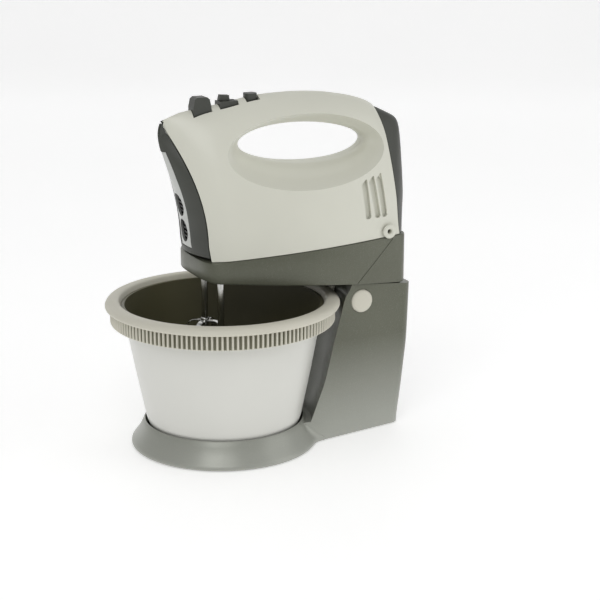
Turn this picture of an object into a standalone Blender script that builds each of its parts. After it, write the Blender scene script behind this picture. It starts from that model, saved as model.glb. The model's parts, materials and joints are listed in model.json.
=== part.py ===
"""Stand-mounted hand mixer: a hand mixer on a tilting cradle, with a base, a column and a turning bowl.

Lengths below are in millimetres; make_object() turns them into metres. The model is laid out around the
bowl's spin axis (X = Y = 0, floor at Z = 0): the nose points to -X, the column stands at +X, and "left" is
the -Y side. The empty called bowl_axis then shifts everything so that the origin is under the middle.
"""
import math

import bmesh
import bpy
from mathutils import Vector

MM = 0.001
GAP = 0.3

# --- driving dimensions -------------------------------------------------------------------------------
AXIS_SHIFT = -32.0            # bowl axis measured from the middle of the whole object's length

# casing of the hand mixer
WALL = 2.2
PARTING = 0.15                # each half keeps this far from the middle plane
BELLY_MIDDLE_X, BELLY_HALF_WIDTH, BELLY_TAPER = 55.0, 43.0, 0.00125
NOSE_START_X, NOSE_TAPER = -7.0, 0.017
NOSE_FOOT_X, NOSE_FOOT_Z, NOSE_UNDERCUT = -23.5, 163.4, 0.13
NOSE_BEND_Z, NOSE_TIP_X, NOSE_TIP_Z = 176.0, -51.0, 274.0
NOSE_DEPTH, NOSE_FULL_Z, NOSE_DEPTH_SLOPE = 12.7, 228.0, 0.065
UNDERSIDE_X, UNDERSIDE_Z, UNDERSIDE_SLOPE = -24.0, 163.5, 0.0408
ROOF = [(-51, 274), (-40, 278), (-31, 280.5), (3, 285.5), (29, 290), (60, 291.3), (85, 290), (105, 287),
        (120, 283.5), (132, 279), (140, 273.5), (150, 268), (157, 263), (161, 256)]
REAR_BORDER = [(147.6, 170.4), (146, 184), (145, 201), (143.4, 217), (141.5, 237), (140, 257), (136.5, 275)]
REAR_FACE = [(158.4, 170.4), (159.6, 187.5), (161, 204), (160.8, 229), (160.6, 249.5), (159.6, 259.5),
             (156.6, 264.8), (150, 268.6), (136.9, 275)]
HOLE_CENTRE, HOLE_HALF, HOLE_TILT = (69.75, 249.8), (56.75, 16.0), -0.05
RECESS_CENTRE, RECESS_HALF = (65.5, 245.5), (70.5, 29.5)

# controls along the top
EJECT_X, SPEED_X, TURBO_X = -17.5, 5.5, 26.0

# motor and gearbox
MOTOR_Z = 196.0
SPINDLE_X, SPINDLE_Y = -9.0, 18.0
WORM_PITCH_RADIUS, WORM_STARTS = 4.5, 2
WORM_GEAR_TEETH, WORM_GEAR_RADIUS = 27, 13.5

# beaters
SHANK_RADIUS, SPINDLE_BORE, SPINDLE_RADIUS = 2.8, 3.2, 5.0
BEATER_TOP, BEATER_BOTTOM, BASKET_TOP, BASKET_RADIUS = 202.0, 24.0, 100.0, 21.0

# bowl, its toothed rim and the drive train in the cradle
BOWL_TEETH, BOWL_PITCH_RADIUS = 144, 92.0
PINION_TEETH = 14
PINION_RADIUS = BOWL_PITCH_RADIUS * PINION_TEETH / BOWL_TEETH
PINION_X = BOWL_PITCH_RADIUS + PINION_RADIUS
DRIVE_MODULE = 2.0
COLLAR_TEETH, IDLER_TEETH, OUTPUT_TEETH = 8, 24, 9
DRIVE_LOW, DRIVE_HIGH = 149.0, 154.0

# cradle, hinge and column
CRADLE_FRONT_X, CRADLE_REAR_X = -27.5, 156.0
CRADLE_SEAM_Z, CRADLE_SEAM_SLOPE = 147.0, -0.106
HINGE_X, HINGE_Z, HINGE_ARC = 147.5, 136.3, 8.3
BUTTON_X, BUTTON_Z, BUTTON_RADIUS = 110.0, 117.5, 9.7
SKIRT_RADIUS, LIP_RADIUS, LIP_Z = 78.0, 66.8, 22.0

# colours: base colour, roughness, metallic
CREAM = ((0.66, 0.66, 0.57), 0.45, 0.0)
CHARCOAL = ((0.045, 0.048, 0.040), 0.5, 0.0)
STAND_GREY = ((0.14, 0.15, 0.12), 0.42, 0.2)
SILVER = ((0.55, 0.56, 0.54), 0.35, 0.6)
BOWL_WHITE = ((0.66, 0.66, 0.60), 0.35, 0.0)
BLACK = ((0.02, 0.02, 0.02), 0.6, 0.0)
RUBBER = ((0.03, 0.03, 0.03), 0.9, 0.0)
STEEL = ((0.60, 0.60, 0.58), 0.25, 1.0)
IRON = ((0.30, 0.30, 0.31), 0.45, 0.9)
COPPER = ((0.72, 0.35, 0.20), 0.35, 1.0)
BRONZE = ((0.50, 0.38, 0.20), 0.40, 0.9)
NYLON = ((0.78, 0.76, 0.68), 0.45, 0.0)
BOARD = ((0.06, 0.22, 0.10), 0.55, 0.0)


# --- general helpers ----------------------------------------------------------------------------------
def clear_scene():
    for obj in list(bpy.data.objects):
        bpy.data.objects.remove(obj, do_unlink=True)


def material(name, finish):
    colour, roughness, metallic = finish
    made = bpy.data.materials.new(name)
    made.use_nodes = True
    shader = made.node_tree.nodes["Principled BSDF"]
    shader.inputs["Base Color"].default_value = (*colour, 1.0)
    shader.inputs["Roughness"].default_value = roughness
    shader.inputs["Metallic"].default_value = metallic
    return made


def add_empty(name, location, parent=None):
    empty = bpy.data.objects.new(name, None)
    bpy.context.collection.objects.link(empty)
    empty.parent = parent
    base = Vector(parent["place"]) if parent else Vector((0, 0, 0))
    empty["place"] = location
    empty.location = (Vector(location) - base) * MM
    return empty


def make_object(name, verts, faces, finish, parent, smooth=True):
    """A mesh object whose origin sits on its parent empty; verts are in the bowl-axis layout."""
    origin = Vector(parent["place"])
    mesh = bpy.data.meshes.new(name)
    mesh.from_pydata([tuple((Vector(v) - origin) * MM) for v in verts], [], faces)
    mesh.validate()
    work = bmesh.new()
    work.from_mesh(mesh)
    bmesh.ops.remove_doubles(work, verts=work.verts, dist=1e-6)
    loose = [vert for vert in work.verts if not vert.link_faces]
    bmesh.ops.delete(work, geom=loose, context="VERTS")
    bmesh.ops.recalc_face_normals(work, faces=work.faces)
    if work.calc_volume(signed=True) < 0:
        bmesh.ops.reverse_faces(work, faces=work.faces)
    bmesh.ops.triangulate(work, faces=work.faces)
    work.to_mesh(mesh)
    work.free()
    if smooth:
        mesh.shade_smooth()
        mesh.set_sharp_from_angle(angle=math.radians(35))
    mesh.materials.append(material(name, finish))
    obj = bpy.data.objects.new(name, mesh)
    bpy.context.collection.objects.link(obj)
    obj.parent = parent
    return obj


def combine(target, tool, operation):
    """Boolean with another object, which becomes a wire guide."""
    tool.hide_render = True
    tool.display_type = "WIRE"
    step = target.modifiers.new(operation.lower(), "BOOLEAN")
    step.operation = operation
    step.object = tool
    step.solver = "EXACT"
    return target


def line_at(points, value):
    """Piecewise-linear x at height z for an outline given as (x, z) from low to high."""
    for (x0, z0), (x1, z1) in zip(points, points[1:]):
        if value <= z1:
            share = max(0.0, (value - z0) / (z1 - z0))
            return x0 + (x1 - x0) * share
    return points[-1][0]


def turned(outline, centre, steps, axis="Z"):
    """Solid of revolution; outline is a loop of (radius, height), or a run between two axis points."""
    closed = outline[0][0] > 1e-6
    verts, faces, rows = [], [], []
    for radius, height in outline:
        if radius < 1e-6:
            rows.append([len(verts)])
            verts.append((0.0, 0.0, height))
            continue
        rows.append(list(range(len(verts), len(verts) + steps)))
        for i in range(steps):
            turn = 2 * math.pi * i / steps
            verts.append((radius * math.cos(turn), radius * math.sin(turn), height))
    pairs = list(zip(rows, rows[1:])) + ([(rows[-1], rows[0])] if closed else [])
    for low, high in pairs:
        faces += band(low, high)
    return [place(v, centre, axis) for v in verts], faces


def band(low, high):
    """Faces between two rows around an axis; either may be a single point or hold more columns."""
    if len(low) > len(high) > 1:
        return [tuple(reversed(face)) for face in band(high, low)]
    count = max(len(low), len(high))
    faces = []
    if len(low) == 1 or len(high) == 1:
        for i in range(count):
            ring = high if len(low) == 1 else low
            faces.append((low[0] if len(low) == 1 else high[0], ring[i], ring[(i + 1) % count]))
        return faces
    share = len(high) // len(low)
    for i in range(len(low)):
        upper = [high[(i * share + k) % len(high)] for k in range(share, -1, -1)]
        faces.append((low[i], low[(i + 1) % len(low)], *upper))
    return faces


def place(point, centre, axis):
    """Turns a point built around +Z so that its axis is X, Y or Z, and moves it to the centre."""
    x, y, z = point
    if axis == "X":
        x, y, z = z, x, y
    elif axis == "Y":
        x, y, z = y, z, x
    return (x + centre[0], y + centre[1], z + centre[2])


def round_part(name, outline, centre, finish, parent, steps=20, axis="Z"):
    verts, faces = turned(outline, centre, steps, axis)
    return make_object(name, verts, faces, finish, parent)


def disc(radius, low, high, bore=0.0):
    """Outline of a plain disc, or of a ring when it has a bore."""
    if bore:
        return [(bore, low), (radius, low), (radius, high), (bore, high)]
    return [(0, low), (radius, low), (radius, high), (0, high)]


def stack(levels):
    """Closed solid through rings of equal length, capped at both ends."""
    size = len(levels[0])
    verts = [point for level in levels for point in level]
    faces = [tuple(reversed(range(size))), tuple(range(len(verts) - size, len(verts)))]
    for row in range(len(levels) - 1):
        for i in range(size):
            a, b = row * size + i, row * size + (i + 1) % size
            faces.append((a, b, b + size, a + size))
    return verts, faces


def block(name, low, high, finish, parent, bevel=0.0):
    corners = [(low[0], low[1]), (high[0], low[1]), (high[0], high[1]), (low[0], high[1])]
    verts, faces = stack([[(x, y, z) for x, y in corners] for z in (low[2], high[2])])
    obj = make_object(name, verts, faces, finish, parent, smooth=False)
    if bevel:
        edge = obj.modifiers.new("edge", "BEVEL")
        edge.width = bevel * MM
        edge.segments = 1
    return obj


def prism_along_y(name, outline, half_width, finish, parent, low=None):
    """Extrudes an (x, z) outline across the model, from low (or -half_width) to half_width."""
    start = -half_width if low is None else low
    verts, faces = stack([[(x, y, z) for x, z in outline] for y in (start, half_width)])
    return make_object(name, verts, faces, finish, parent)


def thicken(verts, faces, wall, keep=None):
    """Closed shell: an outer skin, an inner skin moved in by the wall, and the rims between them.

    keep, where given, moves an inner point back inside the piece's own space."""
    work = bmesh.new()
    made = [work.verts.new(v) for v in verts]
    for face in faces:
        work.faces.new([made[i] for i in face])
    work.verts.index_update()
    work.normal_update()
    inner = []
    for vert in made:
        point = vert.co - vert.normal * wall
        if keep:
            keep(point)
        inner.append(tuple(point))
    count = len(verts)
    rims = []
    for edge in work.edges:
        if len(edge.link_faces) == 1:
            loop = edge.link_loops[0]
            a, b = loop.vert.index, loop.link_loop_next.vert.index
            rims.append((b, a, a + count, b + count))
    work.free()
    skins = list(faces) + [tuple(i + count for i in reversed(face)) for face in faces]
    return list(verts) + inner, skins + rims


def gear_ring(teeth, radius, addendum, dedendum, phase, z, shift=0.0, points=4):
    """One level of a gear's outline around its own centre, as (x, y, z) points."""
    ring = []
    step = 2 * math.pi / teeth
    for tooth in range(teeth):
        middle = phase + shift + tooth * step
        if points == 2:
            parts = [(0.0, radius + addendum), (0.5, radius - dedendum)]
        else:
            parts = [(-0.11, radius + addendum), (0.11, radius + addendum),
                     (0.31, radius - dedendum), (0.69, radius - dedendum)]
        for share, r in parts:
            turn = middle + share * step
            ring.append((r * math.cos(turn), r * math.sin(turn), z))
    return ring


def meshed_phase(phase, teeth, direction, other_teeth):
    """Phase of the second gear so that its gaps meet the first gear's teeth in that direction."""
    along = ((direction - phase) * teeth / (2 * math.pi)) % 1.0
    return direction + math.pi - (0.5 - along) * 2 * math.pi / other_teeth


# --- surfaces of the mixer's casing -------------------------------------------------------------------
def border_x(z):
    """Where the half casings end and the nose begins: nearly upright, then leaning forward to the tip."""
    lean = max(0.0, z - NOSE_BEND_Z) / (NOSE_TIP_Z - NOSE_BEND_Z)
    undercut = NOSE_UNDERCUT * max(0.0, NOSE_BEND_Z - z)
    return NOSE_FOOT_X + undercut + (NOSE_TIP_X - NOSE_FOOT_X) * lean ** 2


def nose_x(z):
    """The foremost line of the nose: deepest at NOSE_FULL_Z, closing on the border at the tip."""
    closing = max(0.0, z - NOSE_FULL_Z) / (NOSE_TIP_Z - NOSE_FULL_Z)
    depth = NOSE_DEPTH - NOSE_DEPTH_SLOPE * max(0.0, NOSE_FULL_Z - z)
    return border_x(z) - depth * (1 - closing ** 4)


NOSE_LEVELS = [NOSE_FOOT_Z + (NOSE_TIP_Z - NOSE_FOOT_Z) * i / 9 for i in range(10)]
FRONT_BORDER = [(border_x(z), z) for z in NOSE_LEVELS]
NOSE_FRONT = [(nose_x(z), z) for z in NOSE_LEVELS]


def belly(x):
    """Half-width of the casing's widest section at x, narrowing faster in front of the spindles."""
    nose = NOSE_TAPER * max(0.0, NOSE_START_X - x) ** 2
    return BELLY_HALF_WIDTH - BELLY_TAPER * (x - BELLY_MIDDLE_X) ** 2 - nose


def underside(x):
    return UNDERSIDE_Z + UNDERSIDE_SLOPE * (x - UNDERSIDE_X)


def roof(x):
    return line_at([(z, a) for a, z in ROOF], x)


def side(x, z):
    """Half-width of the casing at a place in its side view."""
    rise = (z - underside(x)) / (roof(x) - underside(x))
    rise = min(max(rise, 0.0), 1.0)
    return belly(x) * (1 - rise ** 2.2) ** 0.6


def along(points, count):
    """Evenly spaced points on a polyline, without its last one."""
    lengths = [math.dist(a, b) for a, b in zip(points, points[1:])]
    total, out = sum(lengths), []
    for i in range(count):
        left = total * i / count
        for (a, b), length in zip(zip(points, points[1:]), lengths):
            if left <= length:
                out.append(tuple(p + (q - p) * left / length for p, q in zip(a, b)))
                break
            left -= length
    return out


def casing_border(gap):
    """The half casing's outline in side view: underside, rear border, top and front border."""
    low = [(FRONT_BORDER[0][0], underside(FRONT_BORDER[0][0])), (147.6, underside(147.6))]
    rear = [(x - gap, z) for x, z in REAR_BORDER]
    rear[0] = low[1]
    top = [point for point in reversed(ROOF) if -50 < point[0] < 136]
    top = [rear[-1]] + top + [FRONT_BORDER[-1]]
    front = list(reversed(FRONT_BORDER))
    front[-1] = low[0]
    return along(low, 15) + along(rear, 7) + along(top, 12) + along(front, 7)


def on_ellipse(point, centre, half, tilt=0.0):
    turn = math.atan2((point[1] - centre[1]) / half[1], (point[0] - centre[0]) / half[0])
    x = half[0] * math.cos(turn)
    return centre[0] + x, centre[1] + half[1] * math.sin(turn) + tilt * x


def half_casing_skin(least_y):
    """Rows from the finger opening's throat, over its lip and the recess, out to the casing's border."""
    border = casing_border(GAP)
    throat = [on_ellipse(p, HOLE_CENTRE, HOLE_HALF, HOLE_TILT) for p in border]
    rim = [on_ellipse(p, RECESS_CENTRE, RECESS_HALF) for p in border]
    rows = [[(x, least_y, z) for x, z in throat]]
    for out, rise in ((0.04, 0.24), (0.2, 0.42), (0.6, 0.64), (1.0, 1.0)):
        row = []
        for (x0, z0), (x1, z1) in zip(throat, rim):
            row.append((x0 + (x1 - x0) * out, rise * side(x1, z1), z0 + (z1 - z0) * out))
        rows.append(row)
    for out in (0.4, 0.8, 1.0):
        row = []
        for (x0, z0), (x1, z1) in zip(rim, border):
            x, z = x0 + (x1 - x0) * out, z0 + (z1 - z0) * out
            row.append((x, max(side(x, z), least_y), z))
        rows.append(row)
    return rows


def grid_faces(rows, columns, closed):
    faces = []
    last = columns if closed else columns - 1
    for r in range(rows - 1):
        for c in range(last):
            a, b = r * columns + c, r * columns + (c + 1) % columns
            faces.append((a, b, b + columns, a + columns))
    return faces


def keep_half_casing(point):
    point.x = max(point.x, line_at(FRONT_BORDER, point.z))
    point.x = min(point.x, line_at(REAR_BORDER, point.z) - GAP)
    point.y = max(point.y, PARTING)


def keep_nose(point):
    point.x = min(point.x, line_at(FRONT_BORDER, point.z) - 0.8)


def keep_rear(point):
    point.x = max(point.x, line_at(REAR_BORDER, point.z) + GAP)


def make_half_casing(name, sign, parent):
    rows = half_casing_skin(PARTING)
    verts = [point for row in rows for point in row]
    faces = grid_faces(len(rows), len(rows[0]), True)
    verts, faces = thicken(verts, faces, WALL, keep_half_casing)
    shell = make_object(name, [(x, sign * y, z) for x, y, z in verts], faces, CREAM, parent)
    for i, (x, low, high) in enumerate(((114.2, 187, 218), (122.4, 187, 222), (129.8, 187, 225.5))):
        near, far = sorted((sign * 30, sign * 50))
        slot = block(f"{name}_vent_{i}", (x - 2.6, near, low), (x + 2.6, far, high), BLACK, parent)
        combine(shell, slot, "DIFFERENCE")
    for i, (x, half) in enumerate(((EJECT_X, 8.1), (SPEED_X, 8.2), (TURBO_X, 5.8))):
        window = block(f"{name}_window_{i}", (x - half, -7.3, 268), (x + half, 7.3, 300), BLACK, parent)
        combine(shell, window, "DIFFERENCE")
    return shell


def end_surface(border, face, low, high, edges, count, fullness=2):
    """Grid over the nose or the rear: plan sections run from the border round to a blunt end face."""
    verts = []
    for row in range(count):
        z = low + (high - low) * row / (count - 1)
        edge_x, end_x = line_at(border, z), line_at(face, z)
        half = max(side(edge_x, z), 0.6)
        for w in edges(z, half):
            verts.append((end_x + (edge_x - end_x) * abs(w) ** fullness, half * w, z))
    return verts


def panel_half_width(z):
    """Half-width of the silver nose panel, narrower towards its top."""
    return 11.3 - 7.2 * max(0.0, (z - 200) / 50) ** 1.6


# --- mixer --------------------------------------------------------------------------------------------
PANEL_LOW, PANEL_HIGH = 171.0, 250.0


def make_nose(parent):
    """Dark frame round the nose, the silver panel in it and the grille behind the panel."""
    def frame_columns(z, half):
        inner = panel_half_width(min(z, PANEL_HIGH)) / half
        inner = min(inner, 0.8)
        return [-1, -0.5 * (1 + inner), -inner, -inner / 3, inner / 3, inner, 0.5 * (1 + inner), 1]

    border = [(x - 0.8, z) for x, z in FRONT_BORDER]
    levels = [166.5, PANEL_LOW, 184, 197, 210, 223, 237, PANEL_HIGH, 258, 265, 272]
    verts = []
    for z in levels:
        verts += end_surface(border, NOSE_FRONT, z, z + 1, frame_columns, 2)[:8]
    faces = []
    for r in range(len(levels) - 1):
        for c in range(7):
            inside = 2 <= c <= 4 and PANEL_LOW <= levels[r] < PANEL_HIGH
            if not inside:
                a = r * 8 + c
                faces.append((a, a + 8, a + 9, a + 1))
    verts, faces = thicken(verts, faces, WALL, keep_nose)
    make_object("nose_frame", verts, faces, CHARCOAL, parent)

    def panel_columns(z, half):
        inner = (panel_half_width(z) - 1.2) / half
        inner = min(inner, 0.78)
        return [inner * k / 3 for k in range(-3, 4)]

    face = [(x + 0.5, z) for x, z in NOSE_FRONT]
    verts = end_surface(border, face, PANEL_LOW + 1.0, PANEL_HIGH - 1.0, panel_columns, 9)
    faces = [tuple(reversed(f)) for f in grid_faces(9, 7, False)]
    verts, faces = thicken(verts, faces, 1.8)
    panel = make_object("nose_panel", verts, faces, SILVER, parent)
    for z in (184.3, 205.7):
        oval = oval_cutter(f"nose_oval_{int(z)}", z, 7.2, 9.5, parent)
        combine(panel, oval, "DIFFERENCE")
    face = [(x + 3.4, z) for x, z in NOSE_FRONT]
    verts = end_surface(border, face, 174, 217, lambda z, half: [k * 0.37 / 3 for k in range(-3, 4)], 6)
    faces = [tuple(reversed(f)) for f in grid_faces(6, 7, False)]
    verts, faces = thicken(verts, faces, 1.2)
    grille = make_object("nose_grille", verts, faces, BLACK, parent)
    for row in range(7):
        z = 178.5 + 5.6 * row
        slot = block(f"grille_slot_{row}", (-60, -5, z - 1.1), (-20, 5, z + 1.1), BLACK, parent)
        combine(grille, slot, "DIFFERENCE")


def oval_cutter(name, z, half_width, half_height, parent):
    ring = [(half_width * math.cos((i + 0.5) * math.pi / 6), half_height * math.sin((i + 0.5) * math.pi / 6))
            for i in range(12)]
    verts, faces = stack([[(x, y, z + h) for y, h in ring] for x in (-60, -20)])
    return make_object(name, verts, faces, BLACK, parent)


def make_rear_cover(parent):
    border = [(x + GAP, z) for x, z in REAR_BORDER]
    columns = [-1, -0.93, -0.8, -0.6, -0.3, 0, 0.3, 0.6, 0.8, 0.93, 1]
    verts = end_surface(border, REAR_FACE, 171.5, 273.5, lambda z, half: columns, 13, 3)
    verts, faces = thicken(verts, grid_faces(13, 11, False), WALL, keep_rear)
    make_object("rear_cover", verts, faces, CHARCOAL, parent)


def make_vent_guard(name, sign, parent):
    """Thin curved plate close behind the vents of one half casing."""
    verts = []
    for x in (109.5, 116, 122.5, 129, 135.5):
        reach = (x - RECESS_CENTRE[0]) / RECESS_HALF[0]
        recess = RECESS_CENTRE[1] - RECESS_HALF[1] * math.sqrt(1 - reach ** 2)
        for share in (0, 0.33, 0.67, 1):
            z = 184.0 + (recess - 1.5 - 184.0) * share
            verts.append((x, sign * (side(x, z) - WALL - 0.9), z))
    faces = grid_faces(5, 4, False)
    if sign < 0:
        faces = [tuple(reversed(face)) for face in faces]
    verts, faces = thicken(verts, faces, 1.0)
    make_object(name, verts, faces, CREAM, parent)


def make_mixer_floor(parent):
    """Lower cover of the mixer, inside the lower edges of both halves."""
    xs = [-17 + 160 * i / 12 for i in range(13)]
    outline = [(x, -(belly(x) - WALL - 0.9)) for x in xs]
    outline += [(x, -y) for x, y in reversed(outline)]
    levels = [[(x, y, underside(x) + lift) for x, y in outline] for lift in (0.4, 2.6)]
    verts, faces = stack(levels)
    floor = make_object("mixer_floor", verts, faces, CHARCOAL, parent)
    for sign in (-1, 1):
        centre = (SPINDLE_X, sign * SPINDLE_Y, 0)
        combine(floor, round_part(f"socket_hole_{sign}", disc(6.4, 150, 180), centre, BLACK, parent),
                "DIFFERENCE")


def make_cord_bush(parent):
    """Ring on the left side where a mains cord would enter."""
    x, z = 135.3, 174.6
    face = side(x, z)
    hole = [(0, face - 6), (3.4, face - 6), (3.4, face + 6), (0, face + 6)]
    verts, faces = turned(hole, (x, 0, z), 16, "Y")
    cutter = make_object("bush_hole", [(a, -b, c) for a, b, c in verts], faces, BLACK, parent)
    combine(bpy.data.objects["casing_left"], cutter, "DIFFERENCE")
    ring = [(1.9, face - 1.9), (2.9, face - 1.9), (2.9, face + 2.2), (6.0, face + 2.2), (6.0, face + 3.0),
            (4.6, face + 3.8), (1.9, face + 3.8)]
    verts, faces = turned(ring, (x, 0, z), 16, "Y")
    make_object("cord_bush", [(a, -b, c) for a, b, c in verts], faces, CREAM, parent)


def make_controls(mixer, eject, speed, turbo):
    """Eject button, speed slider and turbo button, with the switches that they work."""
    top = roof(EJECT_X)
    outline = [(-7.6, top - 8), (7.6, top - 8), (7.6, top + 2), (6.4, top + 7.4), (4.2, top + 9),
               (-4.0, top + 9), (-6.2, top + 7.4), (-7.6, top + 1)]
    prism_along_y("eject_button", [(EJECT_X + x, z) for x, z in outline], 5.8, CHARCOAL, eject)
    top = roof(SPEED_X)
    block("slider_plate", (SPEED_X - 7.9, -5.4, top - 6), (SPEED_X + 7.9, 5.4, top + 1.2), CHARCOAL, mixer)
    slot = block("slider_slot", (SPEED_X - 6.9, -2.6, top - 12), (SPEED_X + 6.9, 2.6, top + 8), BLACK, mixer)
    combine(bpy.data.objects["slider_plate"], slot, "DIFFERENCE")
    outline = [(-1.6, top - 12), (1.6, top - 12), (1.6, top + 1.6), (4.6, top + 1.6), (4.0, top + 5.6),
               (-3.6, top + 6.2), (-4.6, top + 1.6), (-1.6, top + 1.6)]
    prism_along_y("speed_slider", [(SPEED_X - 2.6 + x, z) for x, z in outline], 2.2, CHARCOAL, speed)
    switch = (SPEED_X - 14, -7, top - 26), (SPEED_X + 4, 7, top - 12.6)
    block("speed_switch", *switch, BLACK, mixer, 0.6)
    top = roof(TURBO_X)
    pill = [(TURBO_X + (2.4 if abs(t) < 90 else -2.4) + 2.9 * math.cos(math.radians(t)),
             5.0 * math.sin(math.radians(t))) for t in range(-160, 181, 20) if abs(t) != 90]
    levels = [[(x, y, top + lift) for x, y in pill] for lift in (-9, 2.6)]
    verts, faces = stack(levels)
    make_object("turbo_button", verts, faces, CHARCOAL, turbo)
    block("turbo_switch", (TURBO_X - 5, -4, top - 19.5), (TURBO_X + 5, 4, top - 12.4), BLACK, mixer, 0.5)


def coil(name, radius, wire, turns, low, high, centre, finish, parent, sides=4, per_turn=7):
    """A compression spring along Z."""
    verts = []
    count = turns * per_turn
    for i in range(count + 1):
        turn = 2 * math.pi * i / per_turn
        z = low + wire + (high - low - 2 * wire) * i / count
        for k in range(sides):
            lean = 2 * math.pi * k / sides
            r = radius + wire * math.cos(lean)
            verts.append((centre[0] + r * math.cos(turn), centre[1] + r * math.sin(turn),
                          z + wire * math.sin(lean)))
    faces = grid_faces(count + 1, sides, True)
    faces += [tuple(range(sides - 1, -1, -1)), tuple(range(count * sides, (count + 1) * sides))]
    return make_object(name, verts, faces, finish, parent)


def make_ejector(eject):
    """Rod from the eject button to a fork whose two pins push on the beater shanks."""
    fork_low, fork_high, seat = 214.5, 217.5, 216.0
    rod_x = EJECT_X
    outline = [(rod_x - 3, -3), (rod_x + 3, -3), (SPINDLE_X - 2, -SPINDLE_Y - 3.2),
               (SPINDLE_X + 3.4, -SPINDLE_Y - 3.2), (SPINDLE_X + 3.4, -SPINDLE_Y + 3.2), (-13, -2),
               (-13, 2), (SPINDLE_X + 3.4, SPINDLE_Y - 3.2), (SPINDLE_X + 3.4, SPINDLE_Y + 3.2),
               (SPINDLE_X - 2, SPINDLE_Y + 3.2), (rod_x + 3, 3), (rod_x - 3, 3)]
    verts, faces = stack([[(x, y, z) for x, y in outline] for z in (fork_low, fork_high)])
    fork = make_object("ejector", verts, faces, NYLON, eject)
    rod = round_part("ejector_rod", disc(2.2, seat, roof(EJECT_X) - 8.3), (rod_x, 0, 0), NYLON, eject, 10)
    combine(fork, rod, "UNION")
    for sign in (-1, 1):
        pin = round_part(f"ejector_pin_{sign}", disc(2.4, BEATER_TOP + 0.4, seat),
                         (SPINDLE_X, sign * SPINDLE_Y, 0), NYLON, eject, 10)
        combine(fork, pin, "UNION")
    shelf = block("ejector_shelf", (rod_x - 5.5, -11, 232), (rod_x + 6.5, 11, 234.5), BLACK,
                  bpy.data.objects["mixer_axis"])
    hole = round_part("ejector_shelf_hole", disc(2.8, 225, 240), (rod_x, 0, 0), BLACK,
                      bpy.data.objects["mixer_axis"], 12)
    combine(shelf, hole, "DIFFERENCE")
    coil("eject_spring", 3.9, 0.5, 6, 234.8, roof(EJECT_X) - 8.3, (rod_x, 0), STEEL, eject)


def make_motor(mixer, armature):
    """Universal motor along X: stator, armature, worm shaft, commutator, brushes, fan and bearings."""
    centre = (0, 0, MOTOR_Z)
    stator_bore = 18.6
    ring = [(x, y) for x, y in ((-25, -17), (-17, -25), (17, -25), (25, -17), (25, 17), (17, 25),
                                (-17, 25), (-25, 17))]
    levels = [[(x, a, MOTOR_Z + b) for a, b in ring] for x in (52, 82)]
    verts, faces = stack(levels)
    frame = make_object("motor_stator", verts, faces, IRON, mixer)
    bore = round_part("stator_bore", disc(stator_bore, 40, 95), centre, BLACK, mixer, 24, "X")
    combine(frame, bore, "DIFFERENCE")
    core = [(3.3, 54), (17.8, 54), (17.8, 80), (3.3, 80)]
    round_part("armature", core, centre, COPPER, armature, 20, "X")
    commutator = [(3.3, 86), (8.5, 86), (8.5, 97), (3.3, 97)]
    round_part("commutator", commutator, centre, COPPER, armature, 16, "X")
    make_worm_shaft(armature)
    make_fan(armature)
    for name, low in (("front_bearing", 12.6), ("rear_bearing", 100.6)):
        ball = [(3.3, low), (5.0, low), (6.6, low + 1.8), (6.6, low + 4.2), (5.0, low + 6), (3.3, low + 6)]
        round_part(name, ball, centre, BRONZE, mixer, 14, "X")
        bridge = block(f"{name}_bridge", (low + 0.8, -30, MOTOR_Z - 11), (low + 5.2, 30, MOTOR_Z + 11),
                       IRON, mixer, 1.0)
        hole = round_part(f"{name}_seat", disc(7.0, low - 5, low + 12), centre, BLACK, mixer, 14, "X")
        combine(bridge, hole, "DIFFERENCE")
    for name, sign in (("left_brush", -1), ("right_brush", 1)):
        near, far = sorted((sign * 8.9, sign * 24))
        block(name, (88, near, MOTOR_Z - 3), (95, far, MOTOR_Z + 3), IRON, mixer)


def merge_flat_faces():
    """Joins the flat triangles that the Booleans leave, so that each flat face is one polygon."""
    for obj in bpy.data.objects:
        if any(step.type == "BOOLEAN" for step in obj.modifiers) and not obj.hide_render:
            flat = obj.modifiers.new("flat_faces", "DECIMATE")
            flat.decimate_type = "DISSOLVE"
            flat.angle_limit = math.radians(0.4)


def make_worm_shaft(armature):
    """Motor shaft with a two-start worm at its front end."""
    lead = WORM_GEAR_RADIUS / WORM_GEAR_TEETH * WORM_STARTS
    sides, start, length = 8, -20.0, 23.0
    twist = 2 * math.pi / sides
    steps = int(length / (lead * twist))
    radii = [WORM_PITCH_RADIUS + 0.6, WORM_PITCH_RADIUS - 0.2, WORM_PITCH_RADIUS - 1.2,
             WORM_PITCH_RADIUS - 0.2]
    phase = start / lead
    levels = []
    for i in range(steps + 1):
        x = start + lead * twist * i
        level = []
        for k in range(sides):
            turn = phase + twist * (i + k)
            level.append((x, radii[k % 4] * math.cos(turn), MOTOR_Z + radii[k % 4] * math.sin(turn)))
        levels.append(level)
    verts, faces = stack(levels)
    worm = make_object("worm_shaft", verts, faces, STEEL, armature)
    shaft = round_part("worm_shaft_core", disc(3.0, -22.5, 108.5), (0, 0, MOTOR_Z), STEEL, armature, 12, "X")
    combine(worm, shaft, "UNION")


def make_fan(armature):
    """Cooling fan: a hub, a back disc and radial blades."""
    hub = [(3.3, 28), (21, 28), (21, 29.6), (7, 29.6), (7, 38), (3.3, 38)]
    fan = round_part("cooling_fan", hub, (0, 0, MOTOR_Z), BLACK, armature, 20, "X")
    for i in range(9):
        turn = 2 * math.pi * i / 9
        across = Vector((0, -math.sin(turn), math.cos(turn)))
        outward = Vector((0, math.cos(turn), math.sin(turn)))
        base = Vector((0, 0, MOTOR_Z))
        corners = [base + outward * r + across * s for r, s in ((6, -0.6), (20, -0.6), (20, 0.6), (6, 0.6))]
        verts, faces = stack([[(x, c.y, c.z) for c in corners] for x in (28.8, 37)])
        combine(fan, make_object(f"fan_blade_{i}", verts, faces, BLACK, armature), "UNION")


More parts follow.
